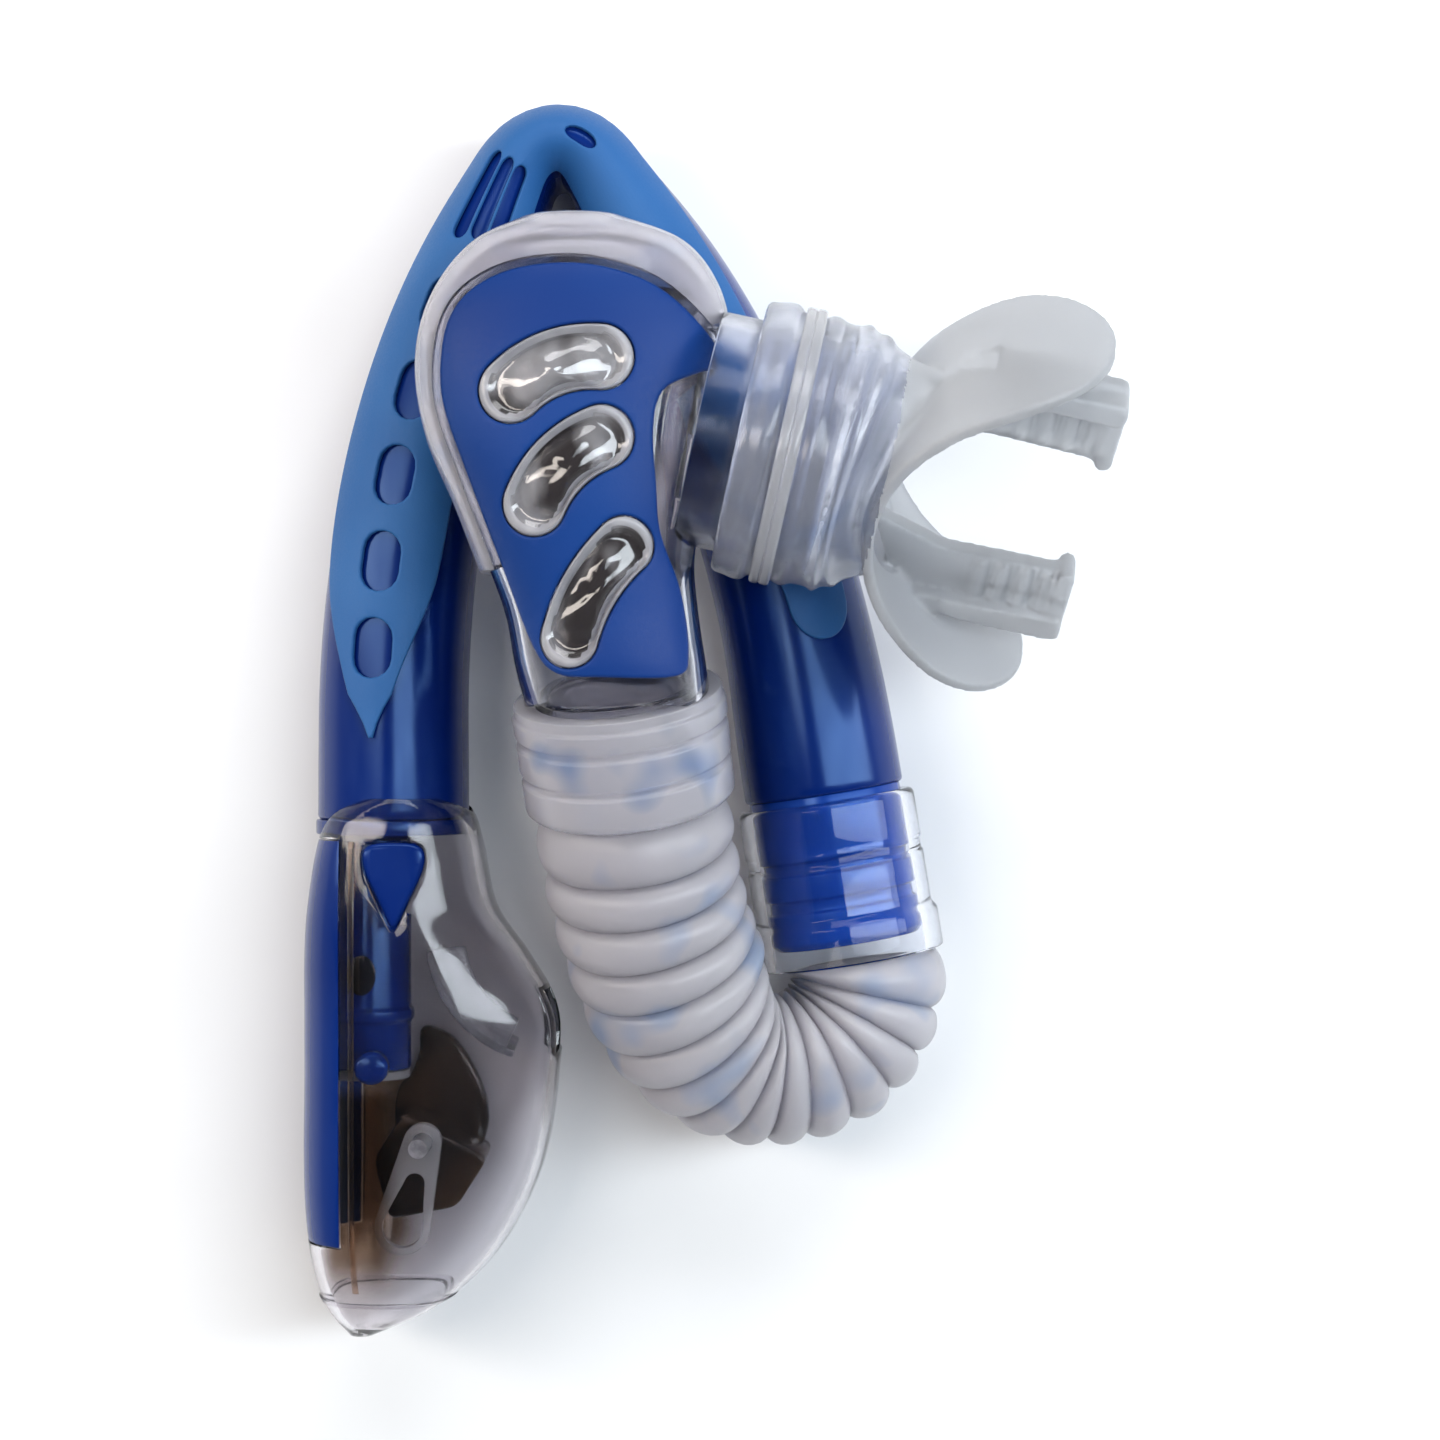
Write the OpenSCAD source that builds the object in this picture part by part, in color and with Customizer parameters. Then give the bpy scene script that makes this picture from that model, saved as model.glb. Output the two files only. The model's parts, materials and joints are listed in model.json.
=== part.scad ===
// Dry-top snorkel with a soft barrel, lying folded on a table.
// Seen from above: the barrel is a hairpin that points along +Y, the dry top is its left leg's lower end,
// a corrugated hose makes a U-turn out of the right leg, and the purge body lies over both legs.

/* [Barrel] */
// Outer diameter of the barrel where it is round
barrel_d = 24.8; // [24:0.2:25.2]
// Wall thickness of the barrel
barrel_wall = 2.2; // [1.6:0.1:2.6]
// Thickness of the barrel across the fold, where it is pinched
fold_thickness = 11.4; // [10.6:0.2:12]
// Height of the barrel at the fold, where it bulges
fold_height = 32.4; // [31:0.2:32.8]
// Thickness of the soft band moulded over the barrel
band_thickness = 0.9; // [0.6:0.1:1]
// Number of decorative slots in the band
band_slots = 5; // [3:1:5]

/* [Hose] */
// Outer diameter of the corrugated hose
hose_d = 30.6; // [29:0.2:31]
// Number of corrugations
corrugations = 15; // [12:1:16]
// Depth of a corrugation
corrugation_depth = 2.2; // [1:0.1:2.4]
// Wall thickness of the hose
hose_wall = 1.3; // [1:0.1:1.5]

/* [Purge body] */
// Wall thickness of the purge chamber
chamber_wall = 1.8; // [1.4:0.1:2]
// Thickness of the coloured trim plates
trim_thickness = 1.2; // [0.8:0.1:1.4]
// Radius of the purge membrane
membrane_r = 9; // [8:0.2:9.4]

/* [Mouthpiece] */
// Outer diameter of the mouthpiece neck
neck_d = 40; // [39:0.2:40.4]
// How far the mouthpiece is turned about its neck
mouth_roll = 40; // [34:1:42]
// Width of the lip shield before it curves
shield_w = 59; // [56:0.5:60]
// Height of the lip shield
shield_h = 33; // [30:0.5:34]

/* [Dry top] */
// Depth of the clear cover
cover_depth = 32.6; // [31:0.2:33]
// Wall thickness of the clear cover
cover_wall = 1.6; // [1.2:0.1:1.8]

/* [Hidden] */
$fn = 48;
// Height of the barrel's centre plane above the table
lie_z = 16.5;
barrel_r = barrel_d / 2;
near = 0.05;
gap = 0.3;
sides = 28;

// Puts the origin under the middle of the whole snorkel
frame_shift = [3.63, 0.64, 0];
module placed() {
  translate(frame_shift) children();
}

// ---------- numbers and curves ----------
function clamp01(t) = min(1, max(0, t));
function ease(t) = let(c = clamp01(t)) c * c * (3 - 2 * c);
function mix(a, b, t) = a + (b - a) * t;
function unit(v) = v / norm(v);
function sgn(x) = x < 0 ? -1 : 1;
// A smooth curve through a list of points, at u from 0 to the last index
function spline(pts, u) =
  let(n = len(pts) - 1, i = min(floor(u), n - 1), t = u - i,
      p0 = pts[max(i - 1, 0)], p1 = pts[i], p2 = pts[i + 1], p3 = pts[min(i + 2, n)])
  0.5 * (2 * p1 + (p2 - p0) * t + (2 * p0 - 5 * p1 + 4 * p2 - p3) * t * t
    + (3 * p1 - 3 * p2 + p3 - p0) * t * t * t);

// ---------- lofted skins ----------
// One ring: superellipse of half sizes a and b about c, in directions ux and uz, squareness p
function ring(c, ux, uz, a, b, p = 2, m = sides) =
  [for (k = [0:m - 1]) let(t = 360 * k / m, ca = cos(t), sa = sin(t))
    c + ux * (a * sgn(ca) * pow(abs(ca), 2 / p)) + uz * (b * sgn(sa) * pow(abs(sa), 2 / p))];

// Triangles between consecutive rings of m points, starting at point number first
function band_faces(n, m, first = 0, flip = false) =
  [for (i = [0:n - 2], k = [0:m - 1], half = [0, 1])
    let(a = first + i * m + k, b = first + i * m + (k + 1) % m, c = b + m, d = a + m,
        f = half == 0 ? [a, b, c] : [a, c, d])
    flip ? [f[2], f[1], f[0]] : f];

// A solid whose section runs through a list of rings
module loft(rings) {
  n = len(rings);
  m = len(rings[0]);
  pts = [for (r = rings) each r];
  foot = [for (k = [m - 1:-1:0]) k];
  head = [for (k = [0:m - 1]) (n - 1) * m + k];
  polyhedron(pts, concat([for (f = band_faces(n, m)) [f[2], f[1], f[0]]],
    [[for (k = [m - 1:-1:0]) head[k]]], [[for (k = [m - 1:-1:0]) foot[k]]]));
}

// A tube between an outer and an inner list of rings, open at both ends
module tube_loft(outer, inner) {
  n = len(outer);
  m = len(outer[0]);
  pts = [for (r = concat(outer, inner)) each r];
  in0 = n * m;
  lip = [for (k = [0:m - 1], half = [0, 1])
    let(a = k, b = (k + 1) % m) half == 0 ? [a, b, in0 + b] : [a, in0 + b, in0 + a]];
  shift = (n - 1) * m;
  end_lip = [for (f = lip) [f[2] + shift, f[1] + shift, f[0] + shift]];
  polyhedron(pts, concat(band_faces(n, m, 0, true), band_faces(n, m, in0), lip, end_lip));
}

// A curved strip of even thickness between two grids of the same size
module patch(top, under) {
  n = len(top);
  m = len(top[0]);
  pts = [for (r = concat(top, under)) each r];
  u0 = n * m;
  cells = [for (i = [0:n - 2], k = [0:m - 2])
    [i * m + k, i * m + k + 1, (i + 1) * m + k + 1, (i + 1) * m + k]];
  upper = [for (c = cells, f = [[c[0], c[1], c[2]], [c[0], c[2], c[3]]]) f];
  lower = [for (f = upper) [f[2] + u0, f[1] + u0, f[0] + u0]];
  rim = concat([for (k = [0:m - 1]) k], [for (i = [1:n - 1]) i * m + m - 1],
    [for (k = [m - 2:-1:0]) (n - 1) * m + k], [for (i = [n - 2:-1:1]) i * m]);
  r = len(rim);
  edge = [for (i = [0:r - 1]) let(a = rim[i], b = rim[(i + 1) % r])
    each [[b, a, a + u0], [b, a + u0, b + u0]]];
  polyhedron(pts, concat(upper, lower, edge));
}

// ---------- barrel path ----------
// The centre line is two gentle arcs joined by the fold; s is the distance along it from the dry top
path_start = [-52.6, -15.8];
path_step = 1;
upper_lean = 25;
upper_straight = 15;
upper_arc = 88;
fold_turn = 121.8;
fold_start = 103;
fold_len = 22;
lower_lean = 24;
lower_start = 124;
lower_arc = 90;
barrel_end = 229;
bend_a = 98;
bend_b = 131;
fold_mid = fold_start + fold_len / 2;
function heading(s) = upper_lean * clamp01((s - upper_straight) / upper_arc)
  + fold_turn * ease((s - fold_start) / fold_len) + lower_lean * clamp01((s - lower_start) / lower_arc);
path = [for (i = 0, p = path_start; i <= barrel_end / path_step;
    p = p + path_step * [sin(heading((i + 0.5) * path_step)), cos(heading((i + 0.5) * path_step))],
    i = i + 1) p];
function centre(s) = let(p = path[round(s / path_step)]) [p.x, p.y, lie_z];
// The side direction points to the inside of the hairpin
function side(s) = [cos(heading(s)), -sin(heading(s)), 0];
function flatness(s) = 1 / (1 + pow((s - fold_mid) / 25, 2));
function half_w(s) = mix(barrel_r, fold_thickness / 2, flatness(s)) + 0.7 * ease((s - 195) / 30);
function half_h(s) = mix(barrel_r, fold_height / 2, flatness(s)) + 0.7 * ease((s - 195) / 30);
function barrel_ring(s, off) = ring(centre(s), side(s), [0, 0, -1], half_w(s) + off, half_h(s) + off);

module barrel_piece(stations) {
  tube_loft([for (s = stations) barrel_ring(s, 0)], [for (s = stations) barrel_ring(s, -barrel_wall)]);
}

// ---------- barrel nodes ----------
module upper_barrel_tube() {
  color("midnightblue") placed() barrel_piece([for (i = [0:10]) round(mix(0, bend_a, i / 10))]);
}

module barrel_bend() {
  color("midnightblue") placed() barrel_piece([for (i = [0:11]) round(mix(bend_a, bend_b, i / 11))]);
}

module lower_barrel_tube() {
  color("midnightblue") placed() barrel_piece([for (i = [0:9]) round(mix(bend_b, barrel_end, i / 9))]);
}

// The band covers the side of the barrel that faces up, between these angles from the inner side
band_from = 13;
band_to = 205;
function band_low(s) = lookup(s, [[13, 98], [20, 84], [38, 58], [60, 52], [114, 40], [125, 36], [160, 60],
  [195, 86], [205, 100]]);
function band_high(s) = lookup(s, [[13, 101], [20, 118], [38, 147], [60, 155], [114, 150], [125, 140],
  [160, 135], [195, 131], [205, 118]]);
band_cells = 10;
band_lift = 0.25;
function band_row(s, off) = [for (k = [0:band_cells]) let(t = mix(band_low(s), band_high(s), k / band_cells))
  centre(s) + side(s) * ((half_w(s) + off) * cos(t)) + [0, 0, (half_h(s) + off) * sin(t)]];
module band_piece(stations) {
  patch([for (s = stations) band_row(s, band_lift + band_thickness)],
    [for (s = stations) band_row(s, band_lift)]);
}
slot_w = 5;
slot_l = 9;
slot_pitch = 13.5;
slot_first = 27;
module band_slot(s) {
  translate([centre(s).x, centre(s).y, lie_z]) rotate([0, 0, -heading(s)])
    linear_extrude(fold_height)
      hull()
        for (end = [-1, 1])
          translate([0, end * (slot_l - slot_w) / 2]) circle(d = slot_w, $fn = 24);
}

module band_upper() {
  color("steelblue") placed()
    difference() {
      band_piece([for (i = [0:11]) round(mix(band_from, bend_a, i / 11))]);
      for (i = [0:band_slots - 1]) band_slot(round(slot_first + i * slot_pitch));
    }
}

module band_bend() {
  color("steelblue") placed() band_piece([for (i = [0:11]) round(mix(bend_a, bend_b, i / 11))]);
}

module band_lower() {
  color("steelblue") placed() band_piece([for (i = [0:8]) round(mix(bend_b, band_to, i / 8))]);
}

// ---------- right leg end: spigot and cuff ----------
end_dir = heading(barrel_end);
function past_end(d) = centre(barrel_end) + d * [sin(end_dir), cos(end_dir), 0];
// Places children with +Z running out of the barrel's lower end
module at_end(d = 0) {
  translate(past_end(d)) rotate([0, 0, -end_dir]) rotate([-90, 0, 0]) children();
}
spigot_len = 24;
spigot_r = barrel_r - 0.2;
spigot_bore = barrel_r - barrel_wall - 1.8;
groove_depth = 0.6;
grooves = [10, 16];
module hose_spigot() {
  color("navy") placed()
    at_end()
      rotate_extrude()
        polygon(concat([[spigot_bore, -8], [barrel_r - barrel_wall - 0.1, -8],
          [barrel_r - barrel_wall - 0.1, near], [spigot_r, near]],
          [for (g = grooves, q = [[0, 0], [-groove_depth, 0.3], [-groove_depth, 2], [0, 2.3]])
            [spigot_r + q[0], g + q[1]]],
          [[spigot_r, spigot_len - 1], [spigot_r - 1, spigot_len], [spigot_bore, spigot_len]]));
}
cuff_fit = 0.06;
cuff_r = spigot_r + 2.1;
cuff_len = 27;
module hose_barrel_cuff() {
  color("lightgray", 0.6) placed()
    at_end()
      rotate_extrude()
        polygon([[spigot_r + cuff_fit, 1.2], [cuff_r - 0.4, 1.2], [cuff_r, 1.8], [cuff_r, 20],
          [cuff_r + 0.8, 21], [cuff_r + 0.8, cuff_len], [spigot_r + cuff_fit, cuff_len]]);
}

// ---------- hose ----------
hose_r = hose_d / 2;
hose_in = past_end(cuff_len + 0.1);
body_cuff_base = [-13.6, -12.6, 39.5];
body_tilt = 17;
body_yaw = 6.5;
body_axis = [-sin(body_yaw) * cos(body_tilt), cos(body_yaw) * cos(body_tilt), sin(body_tilt)];
// The hose runs out of the barrel's cuff, round its lowest place and up to the body's cuff
hose_low = [8.4, -52.7, 19.1];
hose_low_dir = unit([-0.985, 0, 0.17]);
hose_down = [hose_in, past_end(cuff_len + 7), hose_low - 10 * hose_low_dir, hose_low];
hose_up = [hose_low, hose_low + 12.4 * hose_low_dir, body_cuff_base - 29 * body_axis, body_cuff_base];
function bezier(p, t) = pow(1 - t, 3) * p[0] + 3 * t * pow(1 - t, 2) * p[1] + 3 * t * t * (1 - t) * p[2]
  + pow(t, 3) * p[3];
function bezier_way(p, t) = pow(1 - t, 2) * (p[1] - p[0]) + 2 * t * (1 - t) * (p[2] - p[1])
  + t * t * (p[3] - p[2]);
function hose_point(u) = u < 1 ? bezier(hose_down, u) : bezier(hose_up, u - 1);
function hose_dir(u) = unit(u < 1 ? bezier_way(hose_down, u) : bezier_way(hose_up, u - 1));
// Length of the hose up to each of its marks, so that the corrugations can be evenly spaced
hose_marks = 80;
function hose_run(i) = i == 0 ? [0] :
  let(before = hose_run(i - 1), a = hose_point(2 * (i - 1) / hose_marks), b = hose_point(2 * i / hose_marks))
  concat(before, [before[i - 1] + norm(b - a)]);
hose_lengths = hose_run(hose_marks);
hose_at = [for (i = [0:hose_marks]) [hose_lengths[i] / hose_lengths[hose_marks], 2 * i / hose_marks]];
bend_normal = unit([8.5, 0, 26.5]);
pressed_depth = 6.6;
// How much the inside of the bend is pressed in, along the hose from 0 to 1
function pressed_in(f) = lookup(f, [[0, 0.4], [0.06, 0.9], [0.1, 1], [0.3, 1], [0.42, 0.6], [0.6, 0]]);
function hose_ring(f, off) =
  let(u = lookup(f, hose_at), t = hose_dir(u), s = unit(cross(t, bend_normal)), w = cross(t, s),
      inner = hose_r - pressed_depth * pressed_in(f))
  [for (k = [0:15]) let(a = 22.5 * k, ca = cos(a), ax = (ca > 0 ? inner : hose_r) + off)
    hose_point(u) + s * (ax * ca) + w * ((hose_r + off) * sin(a))];
hose_rings = 4 * corrugations;
function wave(i) = i % 4 == 0 || i % 4 == 3 ? -corrugation_depth : 0;
function inner_wave(i) = wave(i) * 0.8;
module corrugated_hose() {
  color("gainsboro", 0.7) placed()
    tube_loft([for (i = [0:hose_rings - 1]) hose_ring(i / (hose_rings - 1), wave(i))],
      [for (i = [0:hose_rings - 1]) hose_ring(i / (hose_rings - 1), inner_wave(i) - hose_wall)]);
}

// ---------- purge body ----------
// Stations up the body: place along Y, left side, right side, centre height, half height
body_stations = [
  [2, -31, 0.4, 44, 17.2],
  [8, -32.4, -0.4, 45.8, 17],
  [16, -33.8, -1.6, 47.4, 16],
  [24, -36.6, -2.2, 48.6, 16.2],
  [32, -39.6, -0.8, 49.6, 16.8],
  [41, -43.4, 0.8, 50.2, 17.2],
  [50, -45.2, 1.6, 50.4, 17.4],
  [58, -44.6, 1.6, 50.6, 17.2],
  [65, -41.6, -0.4, 50.8, 16.4],
  [70.6, -36.6, -5, 51, 14],
  [73.8, -30, -13, 51, 10]];
body_last = len(body_stations) - 1;
body_sides = 24;
// The far end moves in with the offset, so that shells keep their thickness there
function body_y(q, off) = q[0] + off * clamp01((q[0] - 60) / 14);
function body_ring(u, off) = let(q = spline(body_stations, u))
  ring([(q[1] + q[2]) / 2, body_y(q, off), q[3]], [1, 0, 0], [0, 0, -1], (q[2] - q[1]) / 2 + off, q[4] + off,
    2.5, body_sides);
function end_cap(off) = let(q = body_stations[body_last])
  ring([(q[1] + q[2]) / 2, body_y(q, off) + 0.8, q[3]], [1, 0, 0], [0, 0, -1],
    6 + off, 6 + off, 2, body_sides);
module body_solid(off) {
  loft(concat([for (i = [0:11]) body_ring(body_last * i / 11, off)], [end_cap(off)]));
}
// Room for the hose's cuff at the body's lower end
module cuff_room(r) {
  at_body_cuff() translate([0, 0, -20]) cylinder(r = r, h = 20 + body_cuff_len + 0.15);
}

// The mouthpiece neck leaves the body to the right, a little downhill
neck_base = [3.6, 41.9, 52.6];
neck_yaw = -12.5;
module at_neck() {
  translate(neck_base) rotate([0, 0, neck_yaw]) children();
}
module along_neck() {
  at_neck() rotate([0, 90, 0]) children();
}
socket_r = neck_d / 2 - 2.6;
socket_len = 12;

module purge_chamber() {
  color("ghostwhite", 0.5) placed()
    difference() {
      body_solid(-1.6);
      body_solid(-1.6 - chamber_wall);
      cuff_room(20);
      along_neck() translate([0, 0, -7]) cylinder(r = socket_r + 0.1, h = 14);
      drain_ports();
    }
}

// Water leaves the far end of the body here
module drain_ports() {
  for (x = [-31, -21, -11]) translate([x, 66, 50.4]) rotate([-90, 0, 0]) cylinder(r = 2.2, h = 20);
}

// Short rigid tube that the mouthpiece is stretched over
module mouthpiece_socket() {
  color("ghostwhite", 0.5) placed()
    difference() {
      along_neck()
        rotate_extrude()
          polygon([[socket_r - 1.8, -6.9], [socket_r, -6.9], [socket_r, socket_len - 2.5],
            [socket_r + 0.5, socket_len - 2], [socket_r, socket_len], [socket_r - 1.8, socket_len]]);
      body_solid(-1.6 - chamber_wall - near);
    }
}

// Soft hood round the top and left of the body
module purge_hood() {
  color("whitesmoke", 0.5) placed()
    difference() {
      body_solid(0);
      body_solid(-1.5);
      drain_ports();
      linear_extrude(100)
        polygon([[-70, -20], [20, -20], [20, 80], [0, 80], [0, 66], [-14, 56], [-30, 22], [-70, 22]]);
      along_neck() translate([0, 0, -12]) cylinder(r = neck_r + 1.2, h = 40);
      linear_extrude(100) offset(1.6) trim_outline();
    }
}

// Outline of the coloured trim plate, in plan
trim_points = [[-40.4, 53], [-39, 58.5], [-35.4, 62.4], [-28.6, 65], [-19, 65.4], [-9.5, 62.6], [-2.5, 57],
  [0.6, 52.4], [-3.4, 50.2], [-8.2, 47.4], [-9.6, 42], [-9.2, 34], [-8.6, 27], [-5.8, 19], [-4.6, 10],
  [-6.4, 6.4], [-17.5, 6.2], [-23.8, 6.8], [-27.4, 11], [-31.6, 22], [-36.8, 36], [-40.2, 46]];
module trim_outline() {
  polygon([for (i = [0:2 * len(trim_points) - 1]) closed_spline(trim_points, i / 2)]);
}
function closed_spline(pts, u) =
  let(n = len(pts), i = floor(u), t = u - i, p0 = pts[(i + n - 1) % n], p1 = pts[i % n],
      p2 = pts[(i + 1) % n], p3 = pts[(i + 2) % n])
  0.5 * (2 * p1 + (p2 - p0) * t + (2 * p0 - 5 * p1 + 4 * p2 - p3) * t * t
    + (3 * p1 - 3 * p2 + p3 - p0) * t * t * t);

// A bean-shaped window: centre, half length, half width, turn and bow
windows = [
  [[-24, 51], 11.6, 4.7, 20, 0.36],
  [[-22.8, 36.8], 11.4, 4.6, 44, 0.34],
  [[-18.8, 19], 12, 4.2, 59, 0.22]];
bean_round = 0.85;
function blunt(c) = sgn(c) * pow(abs(c), bean_round);
function bean(w, off) = [for (k = [0:23])
  let(x = (w[1] + off) * blunt(cos(15 * k)), y = (w[2] + off) * blunt(sin(15 * k)) - w[4] * x * x / w[1])
  w[0] + [x * cos(w[3]) - y * sin(w[3]), x * sin(w[3]) + y * cos(w[3])]];
module trim_shell(off) {
  difference() {
    body_solid(off);
    body_solid(-1.5);
    cuff_room(20);
    along_neck() translate([0, 0, -7]) cylinder(r = socket_r + 0.1, h = 14);
  }
}

module front_insert() {
  color("royalblue") placed()
    difference() {
      intersection() {
        trim_shell(-1.5 + trim_thickness);
        translate([0, 0, 50]) linear_extrude(40) trim_outline();
      }
      for (w = windows) translate([0, 0, 50]) linear_extrude(40) polygon(bean(w, gap / 2));
    }
}

module rear_insert() {
  color("royalblue") placed()
    intersection() {
      trim_shell(-1.5 + trim_thickness);
      translate([0, 0, 10]) linear_extrude(40) trim_outline();
    }
}

module window_lens(w) {
  color("white", 0.4) placed()
    intersection() {
      trim_shell(-0.1);
      translate([0, 0, 50]) linear_extrude(40) polygon(bean(w, 0));
    }
}
module upper_window() { window_lens(windows[0]); }
module middle_window() { window_lens(windows[1]); }
module lower_window() { window_lens(windows[2]); }

// Cuff of the hose on the body's lower end
module at_body_cuff() {
  translate(body_cuff_base) rotate([0, 0, body_yaw]) rotate([-90 + body_tilt, 0, 0]) children();
}
body_cuff_len = 17.6;
module hose_body_cuff() {
  color("lightgray", 0.6) placed()
    at_body_cuff()
      rotate_extrude()
        polygon([[12.7, 0.9], [15.6, 0.9], [16.2, 1.5], [16.2, 8], [15.8, 8.4], [15.8, 13], [16.3, 13.4],
          [16.3, body_cuff_len], [12.7, body_cuff_len]]);
}
// Rigid spigot of the body inside the cuff
module body_spigot() {
  color("ghostwhite", 0.5) placed()
    at_body_cuff()
      rotate_extrude()
        polygon([[10.8, 5], [12.6, 5], [12.6, body_cuff_len + 0.1], [10.8, body_cuff_len + 0.1]]);
}

// Purge valve at the far end of the chamber
valve_at = [-21, 61, 50.4];
module at_valve() {
  translate(valve_at) rotate([-90, 0, 0]) children();
}
seat_t = 1.6;
module purge_valve_seat() {
  color("ghostwhite") placed() {
    difference() {
      intersection() {
        body_solid(-1.6 - chamber_wall - near);
        translate([-60, valve_at.y, 20]) cube([80, seat_t, 60]);
      }
      at_valve() translate([0, 0, -1]) cylinder(r = membrane_r - 1.2, h = 4);
    }
    at_valve()
      for (turn = [0, 60, 120])
        rotate([0, 0, turn]) translate([-membrane_r, -0.5, 0]) cube([2 * membrane_r, 1, seat_t]);
  }
}
membrane_t = 0.8;
module purge_membrane() {
  color("silver") placed()
    at_valve() translate([0, 0, seat_t + gap]) cylinder(r = membrane_r, h = membrane_t);
}

// ---------- mouthpiece ----------
// In this frame +X runs along the neck to the mouth and the shield is wide along Y
module at_mouth() {
  at_neck() rotate([mouth_roll, 0, 0]) children();
}
neck_r = neck_d / 2;
throat_at = 14;
shield_at = 19;
module mouthpiece_neck() {
  color("gainsboro", 0.6) placed() {
    along_neck()
      rotate_extrude()
        polygon([[socket_r + 0.08, 1.6], [neck_r + 0.2, 1.6], [neck_r + 0.8, 2.4], [neck_r + 0.8, 4],
          [neck_r - 0.4, 4.6], [neck_r - 0.4, 8.6], [neck_r + 0.2, 9.2], [neck_r + 0.2, 10.4],
          [neck_r - 0.4, 11], [neck_r - 0.3, throat_at], [socket_r + 1, throat_at], [socket_r + 1, 12.6],
          [socket_r + 0.7, 12.4], [socket_r + 0.7, 9.4], [socket_r + 0.08, 9.1]]);
    at_mouth()
      tube_loft([for (i = [0:6]) throat_ring(i / 6, 0)], [for (i = [0:6]) throat_ring(i / 6, -1.6)]);
  }
}
// The throat narrows from the round neck to the oval opening and ends on the shield's curved face
throat_a = 17.6;
throat_b = 11.6;
function shield_u(v) = let(c = sqrt(1 - pow(v / (shield_w / 2), 2)))
  shield_at + shield_deep * (1 - c) + shield_t * c;
function throat_ring(t, off) = [for (p = ring([0, 0, 0], [0, 1, 0], [0, 0, 1],
    mix(neck_r - 0.4, throat_a, ease(1.5 * t)) + off,
    mix(neck_r - 0.4, throat_b, ease(1.5 * t)) + off, 2, 28))
  [mix(throat_at - 0.5, shield_u(p.y), t), p.y, p.z]];

// Clamp ring round the neck
module retaining_ring() {
  color("gainsboro", 0.7) placed()
    along_neck()
      rotate_extrude()
        polygon([[neck_r - 0.35, 5.1], [neck_r + 0.4, 5.1], [neck_r + 0.7, 5.5], [neck_r + 0.7, 7.8],
          [neck_r + 0.4, 8.2], [neck_r - 0.35, 8.2]]);
}

shield_turn = 80;
shield_deep = 36;
shield_t = 1.8;
shield_cols = 18;
function shield_half(t) = shield_h / 2 * sqrt(max(0.02, 1 - pow(max(0, abs(t) - 0.64) / 0.38, 2)));
function shield_point(t, w, off) = let(a = t * shield_turn)
  [shield_at + shield_deep * (1 - cos(a)) + off * cos(a), shield_w / 2 * sin(a) - off * sin(a),
    w * shield_half(t)];
function shield_grid(off) = [for (i = [0:shield_cols])
  [for (j = [0:6]) shield_point(2 * i / shield_cols - 1, j / 3 - 1, off)]];
module lip_shield() {
  color("gainsboro", 0.7) placed()
    difference() {
      at_mouth() patch(shield_grid(shield_t), shield_grid(0));
      at_mouth()
        loft([for (x = [10, 40])
          ring([x, 0, 0], [0, 1, 0], [0, 0, 1], throat_a + 0.1, throat_b + 0.1, 2, 28)]);
    }
}

// Each tab is a plate that the teeth close on, with a thick rim on the cheek side and at its end
tab_end = 53;
module bite_tab(way) {
  at_mouth()
    mirror([0, way > 0 ? 0 : 1, 0]) {
      linear_extrude(3.2, center = true)
        polygon([[33, 10.8], [tab_end - 0.6, 10.2], [tab_end - 0.6, 21], [37.4, 20.6]]);
      linear_extrude(8.4, center = true)
        polygon([[38, 18.4], [tab_end, 17.8], [tab_end, 21.6], [38, 21.6]]);
      translate([tab_end - 2.4, 9.6, -3.2]) cube([2.4, 9.4, 6.4]);
    }
}
module upper_bite_tab() { color("gainsboro", 0.8) placed() bite_tab(1); }
module lower_bite_tab() { color("gainsboro", 0.8) placed() bite_tab(-1); }

// ---------- dry top ----------
// Stations down the cover: place along Y, left side, right side, half height as a share of the depth
cover_stations = [
  [-12.4, -58.4, -43.2, 0.86],
  [-14.6, -62.4, -40, 0.9],
  [-20, -64.6, -38.2, 0.93],
  [-30, -66.2, -36, 0.97],
  [-38, -66.7, -30.6, 0.99],
  [-47, -66.7, -25.8, 1],
  [-58, -66.7, -26, 1],
  [-70, -66.8, -28, 0.98],
  [-80, -66.4, -32.2, 0.92],
  [-88, -65.2, -38, 0.82],
  [-94, -63, -45.6, 0.66],
  [-98.4, -59.6, -55, 0.3]];
function cover_ring(u, off) = let(q = spline(cover_stations, u))
  ring([(q[1] + q[2]) / 2, q[0], lie_z], [1, 0, 0], [0, 0, 1], (q[2] - q[1]) / 2 + off,
    cover_depth / 2 * q[3] + off, 2.6, sides);
module cover_solid(off, to = 11) {
  loft([for (i = [0:16]) cover_ring(mix(0, to, i / 16), off)]);
}
button_at = [-51, -26.4];
shield_x = -59.4;
shield_y = [-83, -18.7];
module dry_top_cover() {
  color("aliceblue", 0.35) placed()
    difference() {
      cover_solid(0);
      cover_solid(-cover_wall, 10.6);
      sleeve_room(0.3);
      translate([button_at.x, button_at.y, 20]) linear_extrude(20) button_outline(gap);
      translate([-90, shield_y[0], 0]) cube([90 + shield_x, shield_y[1] - shield_y[0], 60]);
      translate([-34, -53, 10.5]) cube([20, 10, 12]);
    }
}
module sleeve_room(off) {
  translate([path_start.x, -9, lie_z]) rotate([90, 0, 0]) cylinder(r = barrel_r + off, h = 9.6);
}

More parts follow.
